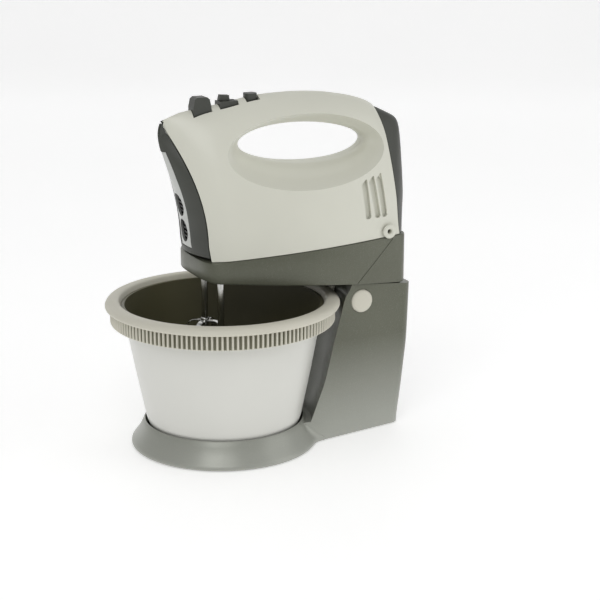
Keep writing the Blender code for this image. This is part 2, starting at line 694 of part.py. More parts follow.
def make_spindles(spindles):
    """A worm gear on a tubular spindle for each beater."""
    twist_rate = 1.0 / (WORM_PITCH_RADIUS * WORM_GEAR_RADIUS)
    step = 2 * math.pi / WORM_GEAR_TEETH
    pitch = 2 * math.pi * WORM_GEAR_RADIUS / WORM_GEAR_TEETH
    for name, sign in (("left", -1), ("right", 1)):
        parent = spindles[name]
        centre = (SPINDLE_X, sign * SPINDLE_Y, MOTOR_Z)
        facing = -sign * math.pi / 2
        worm_crest = -SPINDLE_X % pitch
        phase = facing + step / 2 + sign * worm_crest / WORM_GEAR_RADIUS
        levels = []
        for z in (-6, 0, 6):
            ring = gear_ring(WORM_GEAR_TEETH, WORM_GEAR_RADIUS, 0.5, 1.3, phase, z, z * twist_rate, 2)
            levels.append([place(p, centre, "Z") for p in ring])
        verts, faces = stack(levels)
        gear = make_object(f"{name}_worm_gear", verts, faces, BRONZE, parent)
        bore = round_part(f"{name}_gear_bore", disc(SPINDLE_RADIUS + GAP, 180, 215),
                          (centre[0], centre[1], 0), BLACK, parent, 14)
        combine(gear, bore, "DIFFERENCE")
        tube = [(SPINDLE_BORE, 166.8), (6.0, 166.8), (6.0, 176), (SPINDLE_RADIUS, 178),
                (SPINDLE_RADIUS, 206.5), (SPINDLE_BORE, 206.5)]
        round_part(f"{name}_spindle", tube, (centre[0], centre[1], 0), STEEL, parent, 14)


def make_beater(name, sign, parent):
    """Shank, guide ring and four bent blades that meet again at the foot."""
    x0, y0 = SPINDLE_X, sign * SPINDLE_Y
    shank = [(0, BEATER_BOTTOM), (3.4, BEATER_BOTTOM), (3.4, BEATER_BOTTOM + 7), (2.0, BEATER_BOTTOM + 8),
             (2.0, BASKET_TOP - 7), (3.6, BASKET_TOP - 6), (3.6, BASKET_TOP + 3),
             (SHANK_RADIUS, BASKET_TOP + 4),
             (SHANK_RADIUS, BEATER_TOP - 2), (1.8, BEATER_TOP), (0, BEATER_TOP)]
    beater = round_part(f"{name}_beater", shank, (x0, y0, 0), STEEL, parent, 10)
    low, high = BEATER_BOTTOM + 1.5, BASKET_TOP + 1
    path = [(2.4, high), (BASKET_RADIUS * 0.55, high - 1), (BASKET_RADIUS * 0.9, high - 9),
            (BASKET_RADIUS, high - 22), (BASKET_RADIUS * 0.96, high - 46),
            (BASKET_RADIUS * 0.72, low + 12), (BASKET_RADIUS * 0.35, low + 3), (2.4, low + 2)]
    half, thick = 2.4, 1.1
    for blade in range(4):
        turn = math.pi / 2 * blade + (math.pi / 4 if sign > 0 else 0)
        out, across = (math.cos(turn), math.sin(turn)), (-math.sin(turn), math.cos(turn))
        levels = []
        for i, (r, z) in enumerate(path):
            a, b = path[max(i - 1, 0)], path[min(i + 1, len(path) - 1)]
            dr, dz = b[0] - a[0], b[1] - a[1]
            size = math.hypot(dr, dz)
            nr, nz = -dz / size * thick / 2, dr / size * thick / 2
            ring = []
            for s, w in ((1, -half), (1, half), (-1, half), (-1, -half)):
                rr = r + s * nr
                ring.append((x0 + out[0] * rr + across[0] * w, y0 + out[1] * rr + across[1] * w, z + s * nz))
            levels.append(ring)
        verts, faces = stack(levels)
        combine(beater, make_object(f"{name}_blade_{blade}", verts, faces, STEEL, parent), "UNION")


# --- cradle and drive train ---------------------------------------------------------------------------
def cradle_top(x):
    return underside(x) - 0.4


def cradle_seam(x):
    return CRADLE_SEAM_Z + CRADLE_SEAM_SLOPE * (x - CRADLE_FRONT_X)


def cradle_outline(inset):
    """Plan outline: the casing's belly line with rounded front and rear ends."""
    half = []
    front, rear = CRADLE_FRONT_X + inset, CRADLE_REAR_X - inset
    reach = belly(front + 16) + 1.3 - inset
    for i in range(6):
        t = math.pi / 2 * i / 6
        half.append((front + 16 * (1 - math.cos(t) ** 0.6), reach * math.sin(t) ** 0.6))
    half += [(front + 16 + (rear - front - 24) * i / 9, 0) for i in range(10)]
    half += [(rear - 8 + 8 * math.sin(math.pi / 2 * i / 5), 0) for i in range(1, 6)]
    points = []
    for x, y in half:
        width = belly(x) + 1.3 - inset
        if x > rear - 8:
            width -= 9 * (1 - math.sqrt(max(0.0, 1 - ((x - rear + 8) / 8) ** 2)))
        points.append((x, y if 0 < y < width or x <= front else width))
    return [(x, -y) for x, y in points] + [(x, y) for x, y in reversed(points) if y > 0.01]


def cradle_solid(name, inset, top, seam, finish, parent):
    outline = cradle_outline(inset)
    levels = [[(x, y, seam(x)) for x, y in outline], [(x, y, top(x)) for x, y in outline]]
    verts, faces = stack(levels)
    return make_object(name, verts, faces, finish, parent)


def arc(centre, radius, start, end, steps):
    points = []
    for i in range(steps + 1):
        turn = math.radians(start + (end - start) * i / steps)
        points.append((centre[0] + radius * math.cos(turn), centre[1] + radius * math.sin(turn)))
    return points


def make_cradle(parent):
    shell = cradle_solid("cradle_shell", 0.0, cradle_top, cradle_seam, STAND_GREY, parent)
    cavity = cradle_solid("cradle_cavity", WALL, lambda x: cradle_top(x) - 3.0,
                          lambda x: cradle_seam(x) - 20, BLACK, parent)
    combine(shell, cavity, "DIFFERENCE")
    opening = block("cradle_opening", (-19.5, -28, 140), (7, 28, 180), BLACK, parent)
    combine(shell, opening, "DIFFERENCE")
    corner = arc((HINGE_X, HINGE_Z), HINGE_ARC, -90, 0, 6)
    corner += [(HINGE_X + 30, HINGE_Z), (HINGE_X + 30, HINGE_Z - 30), (HINGE_X, HINGE_Z - 30)]
    combine(shell, prism_along_y("cradle_corner", corner, 60, BLACK, parent), "DIFFERENCE")
    for sign in (-1, 1):
        low, high = sorted((sign * 18.9, sign * 26.1))
        slot = block(f"cradle_slot_{sign}", (140, low, 110), (165, high, 143.5), BLACK, parent)
        combine(shell, slot, "DIFFERENCE")
        web_low, web_high = sorted((sign * 26.6, sign * 30.4))
        web = block(f"cradle_web_{sign}", (142, web_low, 130), (152.5, web_high, 168), STAND_GREY, parent)
        combine(shell, web, "UNION")
    hole = round_part("hinge_hole", disc(2.8, -30, 30), (HINGE_X, 0, HINGE_Z), BLACK, parent, 12, "Y")
    combine(shell, hole, "DIFFERENCE")
    make_cradle_cover(parent)


def make_cradle_cover(parent):
    """Underside cover in front of the column, with a window for the beaters."""
    outline = [(x, y) for x, y in cradle_outline(WALL + 0.5) if x < 90]
    levels = [[(x, y, cradle_seam(x) + lift) for x, y in outline] for lift in (0.2, 2.4)]
    verts, faces = stack(levels)
    cover = make_object("cradle_cover", verts, faces, STAND_GREY, parent)
    window = block("cradle_window", (-19.0, -28, 130), (4, 28, 170), BLACK, parent)
    combine(cover, window, "DIFFERENCE")


def meeting_point(first, reach_first, second, reach_second):
    """The place at the two given distances from two points, on their -Y side."""
    dx, dy = second[0] - first[0], second[1] - first[1]
    apart = math.hypot(dx, dy)
    share = (reach_first ** 2 - reach_second ** 2 + apart ** 2) / (2 * apart)
    aside = math.sqrt(max(0.0, reach_first ** 2 - share ** 2))
    ux, uy = dx / apart, dy / apart
    return first[0] + ux * share + uy * aside, first[1] + uy * share - ux * aside


def drive_places():
    """Centres of the collar gear, the two idlers and the output gear."""
    collar = (SPINDLE_X, -SPINDLE_Y)
    radius = {name: teeth * DRIVE_MODULE / 2 for name, teeth in
              (("collar", COLLAR_TEETH), ("idler", IDLER_TEETH), ("output", OUTPUT_TEETH))}
    lean = math.radians(20)
    reach = radius["collar"] + radius["idler"]
    first = (collar[0] + reach * math.cos(lean), collar[1] + reach * math.sin(lean))
    output = (PINION_X, 0.0)
    second = meeting_point(first, 2 * radius["idler"], output, radius["idler"] + radius["output"])
    return collar, first, second, output


def make_gear(name, teeth, centre, phase, low, high, bore, finish, parent):
    radius = teeth * DRIVE_MODULE / 2
    levels = [[place(p, (*centre, 0), "Z") for p in
               gear_ring(teeth, radius, 1.5, 2.0, phase, z)] for z in (low, high)]
    verts, faces = stack(levels)
    gear = make_object(name, verts, faces, finish, parent)
    if bore:
        hole = round_part(f"{name}_bore", disc(bore, low - 5, high + 5), (*centre, 0), BLACK, parent, 12)
        combine(gear, hole, "DIFFERENCE")
    return gear


def direction(a, b):
    return math.atan2(b[1] - a[1], b[0] - a[0])


def make_drive_train(parents):
    """Collar gear on the left beater, two idlers and the output gear with its dog."""
    collar, first, second, output = drive_places()
    phase = 0.0
    make_gear("drive_collar", COLLAR_TEETH, collar, phase, 148, 156, SHANK_RADIUS + GAP, NYLON,
              parents["left_beater"])
    phase_1 = meshed_phase(phase, COLLAR_TEETH, direction(collar, first), IDLER_TEETH)
    make_gear("first_idler", IDLER_TEETH, first, phase_1, DRIVE_LOW, DRIVE_HIGH, 3.4, NYLON, parents["first"])
    phase_2 = meshed_phase(phase_1, IDLER_TEETH, direction(first, second), IDLER_TEETH)
    make_gear("second_idler", IDLER_TEETH, second, phase_2, DRIVE_LOW, DRIVE_HIGH, 3.4, NYLON,
              parents["second"])
    phase_3 = meshed_phase(phase_2, IDLER_TEETH, direction(second, output), OUTPUT_TEETH)
    gear = make_gear("output_gear", OUTPUT_TEETH, output, phase_3, DRIVE_LOW, DRIVE_HIGH, 0, NYLON,
                     parents["output"])
    stem = [(0, 138.4), (7, 138.4), (7, 141), (3.6, 141), (3.6, 160.5), (2.6, 164.6), (0, 164.6)]
    combine(gear, round_part("output_stem", stem, (*output, 0), NYLON, parents["output"], 14), "UNION")
    add_jaws(gear, "output_jaw", output, 0.0, 135.4, 139.5, parents["output"])
    for name, centre in (("first_idler_pin", first), ("second_idler_pin", second)):
        low = cradle_seam(centre[0]) + 3.4
        pin = [(0, low), (5.5, low), (5.5, low + 1.2), (3.0, low + 1.2), (3.0, 160.2), (0, 160.2)]
        round_part(name, pin, (*centre, 0), STEEL, parents["cradle"], 12)


def add_jaws(target, name, centre, phase, low, high, parent):
    """Two opposite sector-shaped jaws of a dog coupling."""
    for i in range(2):
        turn = phase + math.pi * i
        ring = []
        for r, a in ((3.2, -0.4), (6.6, -0.4), (6.8, 0.0), (6.6, 0.4), (3.2, 0.4)):
            ring.append((centre[0] + r * math.cos(turn + a), centre[1] + r * math.sin(turn + a)))
        verts, faces = stack([[(x, y, z) for x, y in ring] for z in (low, high)])
        combine(target, make_object(f"{name}_{i}", verts, faces, NYLON, parent), "UNION")


def make_bowl_pinion(parent):
    """Vertical pinion in the column's front that turns the bowl by its toothed rim."""
    centre = (PINION_X, 0)
    phase = meshed_phase(0.0, BOWL_TEETH, 0.0, PINION_TEETH)
    levels = [[place(p, (*centre, 0), "Z") for p in
               gear_ring(PINION_TEETH, PINION_RADIUS, 0.7, 1.3, phase, z, 0.0, 2)] for z in (107, 115)]
    verts, faces = stack(levels)
    pinion = make_object("bowl_pinion", verts, faces, NYLON, parent)
    stem = [(0, 98.5), (3.0, 98.5), (3.0, 133.3), (7, 133.3), (7, 135.0), (0, 135.0)]
    combine(pinion, round_part("pinion_stem", stem, (*centre, 0), NYLON, parent, 14), "UNION")
    add_jaws(pinion, "pinion_jaw", centre, math.pi / 2, 134.2, 138.0, parent)


# --- stand --------------------------------------------------------------------------------------------
COLUMN_REAR = [(153.6, 0), (154, 9.5), (156.6, 32), (159, 59), (160.4, 81), (160.5, 135)]
FRONT_CLEARANCE = [(73.5, 18), (80, 37), (85.5, 54), (92, 83), (97.3, 104), (101.5, 121), (106, 129),
                   (110, 142)]


def column_half_width(x, z):
    """Plan taper towards the rear, stronger at the foot than at the top."""
    share = min(max(z / 130.0, 0.0), 1.0)
    taper = 0.185 * (1 - share) + 0.09 * share
    return 41.0 - taper * max(0.0, x - 70.0)


def column_level(z, inset):
    rear = line_at(COLUMN_REAR, z) - inset
    corner = 9.0 - inset
    half = [(45.0, column_half_width(45, z) - inset)]
    half += [(x, column_half_width(x, z) - inset) for x in (70.0, 100.0, 125.0, rear - corner)]
    edge = column_half_width(rear - corner, z) - inset
    half += [(rear - corner + corner * math.sin(t), edge - corner * (1 - math.cos(t)))
             for t in (math.radians(30), math.radians(60), math.radians(90))]
    outline = [(x, -y) for x, y in half] + [(x, y) for x, y in reversed(half)]
    return [(x, y, z) for x, y in outline]


def column_solid(name, inset, bottom, top, parent):
    """The column's outer or inner form; its top follows the cradle's seam."""
    levels = [column_level(z, inset) for z in (bottom, 20, 59, 95)]
    levels.append([(x, y, top(x)) for x, y, z in column_level(126, inset)])
    verts, faces = stack(levels)
    return make_object(name, verts, faces, STAND_GREY, parent)


def revolve_clearance(name, extra, low, parent):
    """Body of revolution round the bowl that hollows the column's front."""
    profile = [(FRONT_CLEARANCE[0][0] + extra, low)]
    profile += [(r + extra, z) for r, z in FRONT_CLEARANCE]
    outline = [(0, low)] + profile + [(0, FRONT_CLEARANCE[-1][1])]
    return round_part(name, outline, (0, 0, 0), BLACK, parent, 40)


def column_top(x):
    return cradle_seam(x) - 0.5


def make_stand(parent):
    """Base skirt, foot and column in one moulding, hollow and open below."""
    shell = column_solid("stand_shell", 0.0, 1.0, column_top, parent)
    combine(shell, revolve_clearance("bowl_clearance", 0.0, LIP_Z - 3.0, parent), "DIFFERENCE")
    inside = round_part("skirt_inside", disc(LIP_RADIUS - 0.4, -5, 60), (0, 0, 0), BLACK, parent, 40)
    combine(shell, inside, "DIFFERENCE")
    cavity = column_solid("column_cavity", WALL + 0.3, -5.0, lambda x: column_top(x) - 3.0, parent)
    guard = revolve_clearance("front_wall_guard", WALL + 0.3, -10.0, parent)
    combine(cavity, guard, "DIFFERENCE")
    shelf = block("pinion_shelf", (90, -7, 99.5), (109, 7, 104.5), STAND_GREY, parent)
    combine(cavity, shelf, "DIFFERENCE")
    combine(shell, cavity, "DIFFERENCE")
    pocket = round_part("pinion_pocket", disc(10.8, 105.8, 117.5), (PINION_X, 0, 0), BLACK, parent, 24)
    combine(shell, pocket, "DIFFERENCE")
    skirt = [(SKIRT_RADIUS - 2.6, 1.0), (SKIRT_RADIUS, 1.0), (SKIRT_RADIUS, 3.5), (73.4, 9), (69.2, 17),
             (LIP_RADIUS, LIP_Z), (LIP_RADIUS - 0.9, LIP_Z - 1), (LIP_RADIUS - 1.2, 6.8), (3.3, 6.8),
             (3.3, 4.6), (LIP_RADIUS + 0.6, 4.6), (70.5, 8)]
    combine(shell, round_part("skirt_form", skirt, (0, 0, 0), STAND_GREY, parent, 44), "UNION")
    combine(shell, plate_form("plate_recess", 73.0, WALL + 0.8, -5.0, 3.8, parent), "DIFFERENCE")
    bracket = block("pinion_bracket", (96.5, -7.5, 127.5), (112, 7.5, 131.0), STAND_GREY, parent)
    combine(shell, bracket, "UNION")
    bearing = round_part("pinion_hole", disc(3.3, 95, 150), (PINION_X, 0, 0), BLACK, parent, 14)
    combine(shell, bearing, "DIFFERENCE")
    lean = column_half_width(BUTTON_X, BUTTON_Z)
    port = round_part("button_port", disc(BUTTON_RADIUS + 0.4, -lean - 10, -lean + 8),
                      (BUTTON_X, 0, BUTTON_Z), BLACK, parent, 24, "Y")
    combine(shell, port, "DIFFERENCE")
    window = block("latch_window", (105, -23.5, 120), (115, -11.5, 140), BLACK, parent)
    combine(shell, window, "DIFFERENCE")
    for sign in (-1, 1):
        low, high = sorted((sign * 19.5, sign * 25.5))
        outline = [(HINGE_X - 5.6, 120)] + arc((HINGE_X, HINGE_Z), 5.6, 180, 0, 8) + [(HINGE_X + 5.6, 120)]
        ear = prism_along_y(f"hinge_ear_{sign}", outline, high, STAND_GREY, parent, low)
        ear_hole = round_part(f"ear_hole_{sign}", disc(2.8, low - 5, high + 5), (HINGE_X, 0, HINGE_Z),
                              BLACK, parent, 12, "Y")
        combine(ear, ear_hole, "DIFFERENCE")
        combine(shell, ear, "UNION")
    round_part("hinge_pin", disc(2.5, -29.7, 29.7), (HINGE_X, 0, HINGE_Z), STEEL, parent, 12, "Y")


def plate_form(name, radius, inset, low, high, parent):
    """Keyhole-shaped slab under the bowl and the foot, in one outline."""
    foot = [(x, y) for x, y, _ in column_level(2, inset) if x > 68]
    start = math.degrees(math.atan2(foot[-1][1], math.sqrt(radius ** 2 - foot[-1][1] ** 2)))
    outline = foot + arc((0, 0), radius, start, 360 - start, 32)
    verts, faces = stack([[(x, y, z) for x, y in outline] for z in (low, high)])
    return make_object(name, verts, faces, BLACK, parent)


def make_base_fittings(parent):
    """Bottom plate, rubber feet and the bowl's pivot pin."""
    plate_form("base_plate", 72.4, WALL + 1.3, 1.6, 3.4, parent)
    places = [(-42, -42), (-42, 42), (130, -18), (130, 18)]
    for i, (x, y) in enumerate(places):
        foot = [(0, 0), (7.0, 0), (8.0, 1.3), (0, 1.3)]
        round_part(f"foot_pad_{i + 1}", foot, (x, y, 0), RUBBER, parent, 14)
    pin = [(0, 3.7), (6, 3.7), (6, 4.3), (3.0, 4.3), (3.0, 9.6), (0, 9.6)]
    round_part("turntable_pin", pin, (0, 0, 0), STEEL, parent, 12)


def make_bowl(parent):
    plate = [(0, 11.8), (11.7, 11.8), (12, 9.6), (46, 9.6), (50, 8.8), (50, 7.1), (3.3, 7.1), (3.3, 10.0),
             (0, 10.0)]
    round_part("turntable", plate, (0, 0, 0), CHARCOAL, parent, 24)
    outer = [(0, 12.2), (12.5, 12.2), (12.5, 10), (56, 10), (61, 13), (65, 24), (73.1, 64), (81, 107),
             (83.5, 120.5)]
    inner = [(81, 120.5), (78.5, 107), (70.6, 64), (62.6, 25), (58.8, 15.5), (55, 12.9), (15.5, 12.8),
             (14.5, 15), (0, 15)]
    round_part("bowl", outer + inner, (0, 0, 0), BOWL_WHITE, parent, 36)
    make_bowl_rim(parent)


def make_bowl_rim(parent):
    """Rolled rim with a band of drive teeth under its lip; open underneath."""
    columns = 36
    rows = [(81.6, 106), (84.3, 121.3), (86, 124.4), (90, 125), (94.8, 123.8), (97, 120), (96.2, 116.2)]
    verts, index = [], []

    def add_row(points):
        index.append(list(range(len(verts), len(verts) + len(points))))
        verts.extend(points)

    def circle(radius, z):
        turns = [2 * math.pi * i / columns for i in range(columns)]
        return [(radius * math.cos(turn), radius * math.sin(turn), z) for turn in turns]

    for radius, z in rows:
        add_row(circle(radius, z))
    for z in (116.2, 106):
        add_row(gear_ring(BOWL_TEETH, BOWL_PITCH_RADIUS, 1.0, 1.0, 0.0, z, 0.0, 2))
    for radius, z in ((88.6, 106), (88.6, 117), (93, 120), (88, 122), (83.8, 106)):
        add_row(circle(radius, z))
    faces = []
    for low, high in zip(index, index[1:] + index[:1]):
        faces += band(low, high)
    make_object("bowl_rim", verts, faces, CREAM, parent)


def make_tilt_release(button):
    """Round push button on the column's left side, the latch bar behind it and its spring."""
    lean = column_half_width(BUTTON_X, BUTTON_Z)
    cap = [(0, -lean - 2.4), (BUTTON_RADIUS - 1.5, -lean - 2.2), (BUTTON_RADIUS, -lean - 1.2),
           (BUTTON_RADIUS, -lean + 4), (3.0, -lean + 4), (3.0, -20.5), (0, -20.5)]
    round_part("tilt_button", cap, (BUTTON_X, 0, BUTTON_Z), CREAM, button, 24, "Y")
    outline = [(106.5, 112), (113.5, 112), (113.5, 133), (111, 136), (109, 136), (106.5, 133)]
    prism_along_y("latch_bar", outline, -16.2, STEEL, button, -20.2)


def main():
    clear_scene()
    stand = add_empty("bowl_axis", (0, 0, 0))
    stand.location = (AXIS_SHIFT * MM, 0, 0)
    bowl = add_empty("bowl_spin_axis", (0, 0, 0), stand)
    pinion = add_empty("pinion_axis", (PINION_X, 0, 110), stand)
    button = add_empty("tilt_button_axis", (BUTTON_X, -38, BUTTON_Z), stand)
    cradle = add_empty("tilt_axis", (HINGE_X, 0, HINGE_Z), stand)
    mixer = add_empty("mixer_axis", (SPINDLE_X, 0, underside(SPINDLE_X)), cradle)
    eject = add_empty("eject_axis", (EJECT_X, 0, roof(EJECT_X)), mixer)
    speed = add_empty("speed_axis", (SPEED_X, 0, roof(SPEED_X)), mixer)
    turbo = add_empty("turbo_axis", (TURBO_X, 0, roof(TURBO_X)), mixer)
    armature = add_empty("armature_axis", (0, 0, MOTOR_Z), mixer)
    spindles, beaters = {}, {}
    for name, sign in (("left", -1), ("right", 1)):
        spindles[name] = add_empty(f"{name}_spindle_axis", (SPINDLE_X, sign * SPINDLE_Y, MOTOR_Z), mixer)
        shank_top = (SPINDLE_X, sign * SPINDLE_Y, BEATER_TOP)
        beaters[name] = add_empty(f"{name}_beater_axis", shank_top, spindles[name])
    _, first, second, output = drive_places()
    parents = {"left_beater": beaters["left"], "cradle": cradle}
    for name, centre in (("first", first), ("second", second), ("output", output)):
        parents[name] = add_empty(f"{name}_gear_axis", (*centre, DRIVE_LOW), cradle)

    make_stand(stand)
    make_base_fittings(stand)
    make_bowl(bowl)
    make_bowl_pinion(pinion)
    make_tilt_release(button)
    make_cradle(cradle)
    make_drive_train(parents)
    make_half_casing("casing_left", -1, mixer)
    make_half_casing("casing_right", 1, mixer)
    make_nose(mixer)
    make_rear_cover(mixer)
    make_mixer_floor(mixer)
    make_cord_bush(mixer)
    make_vent_guard("left_vent_guard", -1, mixer)
    make_vent_guard("right_vent_guard", 1, mixer)
    make_controls(mixer, eject, speed, turbo)
    make_ejector(eject)
    make_motor(mixer, armature)
    make_spindles(spindles)
    make_beater("left", -1, beaters["left"])
    make_beater("right", 1, beaters["right"])
    block("circuit_board", (109, -22, 180), (134, -20.4, 205), BOARD, mixer)
    merge_flat_faces()


main()
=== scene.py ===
"""Looks of a hand mixer on its tilting stand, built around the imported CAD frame.

Lengths in the layout are millimetres, measured from the bowl's axis at floor level; the row frame is
metres, with its origin under the middle of the whole object. The left side is -Y."""

import json
import math

import bmesh
import bpy
import numpy as np
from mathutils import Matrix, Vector

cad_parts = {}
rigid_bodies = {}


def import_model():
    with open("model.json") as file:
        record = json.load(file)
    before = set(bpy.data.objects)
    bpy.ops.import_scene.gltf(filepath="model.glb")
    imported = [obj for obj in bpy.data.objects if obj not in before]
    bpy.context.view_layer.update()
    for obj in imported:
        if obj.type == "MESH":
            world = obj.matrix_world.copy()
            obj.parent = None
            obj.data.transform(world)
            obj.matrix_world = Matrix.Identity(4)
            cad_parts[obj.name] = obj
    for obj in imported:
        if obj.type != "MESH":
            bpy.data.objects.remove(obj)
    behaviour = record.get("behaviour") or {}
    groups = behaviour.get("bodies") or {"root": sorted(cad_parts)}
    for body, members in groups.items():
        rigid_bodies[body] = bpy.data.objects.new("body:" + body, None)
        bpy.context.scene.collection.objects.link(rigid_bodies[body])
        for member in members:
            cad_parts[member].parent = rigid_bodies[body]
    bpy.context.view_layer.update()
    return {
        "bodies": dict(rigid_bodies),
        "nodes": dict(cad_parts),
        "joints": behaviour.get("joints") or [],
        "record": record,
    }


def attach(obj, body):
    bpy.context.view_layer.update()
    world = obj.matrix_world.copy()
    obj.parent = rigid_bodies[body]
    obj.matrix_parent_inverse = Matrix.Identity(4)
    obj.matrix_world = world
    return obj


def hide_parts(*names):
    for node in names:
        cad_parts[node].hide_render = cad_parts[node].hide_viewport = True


MM = 0.001
AXIS_SHIFT = -32.0            # bowl axis measured from the middle of the whole object's length
GAP = 0.3

# casing of the hand mixer
WALL = 2.2
PARTING = 0.15
BELLY_MIDDLE_X, BELLY_HALF_WIDTH, BELLY_TAPER = 55.0, 43.0, 0.00125
NOSE_START_X, NOSE_TAPER = -7.0, 0.017
NOSE_FOOT_X, NOSE_FOOT_Z, NOSE_UNDERCUT = -23.5, 163.4, 0.13
NOSE_BEND_Z, NOSE_TIP_X, NOSE_TIP_Z = 176.0, -51.0, 274.0
NOSE_DEPTH, NOSE_FULL_Z, NOSE_DEPTH_SLOPE = 12.7, 228.0, 0.065
UNDERSIDE_X, UNDERSIDE_Z, UNDERSIDE_SLOPE = -24.0, 163.5, 0.0408
ROOF_POINTS = [(-51, 274), (-40, 278), (-31, 280.5), (3, 285.5), (29, 290), (60, 291.3), (85, 290),
               (105, 287), (120, 283.5), (132, 279), (140, 273.5), (150, 268), (157, 263), (161, 256)]
REAR_BORDER_POINTS = [(147.6, 170.4), (146, 184), (145, 201), (143.4, 217), (141.5, 237), (140, 257),
                      (136.5, 275)]
REAR_FACE_POINTS = [(158.4, 170.4), (159.6, 187.5), (161, 204), (160.8, 229), (160.6, 249.5),
                    (159.6, 259.5), (156.6, 264.8), (150, 268.6), (136.9, 275)]
HOLE_CENTRE, HOLE_HALF, HOLE_TILT = (69.75, 249.8), (56.75, 16.0), -0.05
RECESS_CENTRE, RECESS_HALF = (65.5, 245.5), (70.5, 29.5)
COVE = [(0, 0), (0.04, 0.24), (0.2, 0.42), (0.6, 0.64), (1, 1)]   # way out from the throat, rise
VENTS = [(112.4, 217.5, 115.5), (119.7, 219.5, 124.8), (127.2, 221.0, 131.8)]  # top x, top z, foot x
VENT_FOOT_Z, VENT_HALF_WIDTH = 187.0, 2.7
EJECT_X, SPEED_X, TURBO_X = -17.5, 5.5, 26.0
WINDOWS = [(EJECT_X, 8.1), (SPEED_X, 8.2), (TURBO_X, 5.8)]
WINDOW_HALF_Y = 7.3
NOSE_GAP = 0.8                # between the half casings and the nose
NOSE_LOW, NOSE_HIGH = 166.5, 272.0
PANEL_LOW, PANEL_HIGH, PANEL_WALL = 171.0, 250.0, 1.8
PANEL_HALF_WIDTH, PANEL_TAPER, PANEL_TAPER_Z = 11.3, 7.2, 200.0
OVAL_HALF_WIDTH, OVAL_HALF_HEIGHT = 7.2, 9.5
GRILLE_CENTRES, GRILLE_LOW, GRILLE_HIGH = [184.3, 205.7], 173.8, 216.5
GRILLE_PITCH, GRILLE_HALF_SLOT, GRILLE_HALF_WIDTH, GRILLE_WALL = 3.5, 1.0, 6.0, 1.4
BUSH_X, BUSH_Z, BUSH_HOLE = 135.3, 174.6, 3.4

# beaters
SPINDLE_X, SPINDLE_Y = -9.0, 18.0
BEATER_TOP, BEATER_BOTTOM, BASKET_TOP, BASKET_RADIUS = 202.0, 24.0, 100.0, 21.0
STRIP_HALF_WIDTH, STRIP_HALF_THICKNESS, STRIP_CORNER = 2.4, 0.55, 0.35

# cradle, column and base
CRADLE_FRONT_X, CRADLE_REAR_X = -27.5, 156.0
CRADLE_OVERHANG, CRADLE_FRONT_ROUND, CRADLE_REAR_ROUND = 1.3, 16.0, 8.0
CRADLE_SEAM_Z, CRADLE_SEAM_SLOPE = 147.0, -0.106
HINGE_X, HINGE_Z, HINGE_ARC = 147.5, 136.3, 8.3
HINGE_HOLE, EAR_RADIUS, EAR_FOOT_Z = 2.8, 5.6, 120.0
BUTTON_X, BUTTON_Z, BUTTON_RADIUS = 110.0, 117.5, 9.7
PINION_X, PINION_BEARING = 100.944, 3.3
SKIRT_RADIUS, LIP_RADIUS, LIP_Z = 78.0, 66.8, 22.0
COLUMN_HALF_WIDTH, COLUMN_TAPER_X, COLUMN_CORNER = 41.0, 70.0, 9.0
COLUMN_REAR_POINTS = [(153.6, 0), (154, 9.5), (156.6, 32), (159, 59), (160.4, 81), (160.5, 135)]
CLEARANCE_POINTS = [(73.5, 18), (80, 37), (85.5, 54), (92, 83), (97.3, 104), (101.5, 121), (106, 129),
                    (110, 142)]

# bowl
BOWL_RIBS, STEPS_PER_RIB = 144, 8
RIB_RADIUS, RIB_LOW, RIB_HIGH = 92.0, 106.0, 118.5

# lights, as (name, place, size, power), and camera; metres and watts
STAGE_MIDDLE = (0.0, 0.0, 0.15)
LIGHTS = [("key", (-0.9, -1.3, 1.5), (1.2, 1.2), 11.0), ("fill", (1.4, -1.0, 0.7), (1.2, 1.6), 6.0),
          ("top", (0.1, 0.3, 1.9), (1.6, 1.6), 2.5)]
WORLD_STRENGTH, FLOOR_GLOW = 0.42, 0.34
CAMERA_TARGET, CAMERA_LENS, CAMERA_SENSOR = (0.0392, 0.0014, 0.1131), 96.0, 36.0
CAMERA_AZIMUTH, CAMERA_ELEVATION, CAMERA_DISTANCE = -25.0, 15.5, 1.356


# --- curves and helpers -------------------------------------------------------------------------------
def smooth_curve(points, steps=12):
    """A finer line through the points (Catmull-Rom), ordered by its second value."""
    pts = [Vector(p) for p in points]
    pts = [2 * pts[0] - pts[1]] + pts + [2 * pts[-1] - pts[-2]]
    out = []
    for p0, p1, p2, p3 in zip(pts, pts[1:], pts[2:], pts[3:]):
        for i in range(steps):
            t = i / steps
            out.append(0.5 * (2 * p1 + (p2 - p0) * t + (2 * p0 - 5 * p1 + 4 * p2 - p3) * t * t
                              + (3 * p1 - p0 - 3 * p2 + p3) * t ** 3))
    out.append(pts[-2])
    low, high = [min(c) for c in zip(*points)], [max(c) for c in zip(*points)]
    return [tuple(min(max(v, a), b) for v, a, b in zip(p, low, high)) for p in out]


def border_x(z):
    """Where the half casings end and the nose begins: nearly upright, then leaning forward to the tip."""
    lean = max(0.0, z - NOSE_BEND_Z) / (NOSE_TIP_Z - NOSE_BEND_Z)
    undercut = NOSE_UNDERCUT * max(0.0, NOSE_BEND_Z - z)
    return NOSE_FOOT_X + undercut + (NOSE_TIP_X - NOSE_FOOT_X) * lean ** 2


def nose_x(z):
    """The foremost line of the nose: deepest at NOSE_FULL_Z, closing on the border at the tip."""
    closing = max(0.0, z - NOSE_FULL_Z) / (NOSE_TIP_Z - NOSE_FULL_Z)
    depth = NOSE_DEPTH - NOSE_DEPTH_SLOPE * max(0.0, NOSE_FULL_Z - z)
    return border_x(z) - depth * (1 - closing ** 4)


def spaced(low, high, count):
    return [low + (high - low) * i / (count - 1) for i in range(count)]


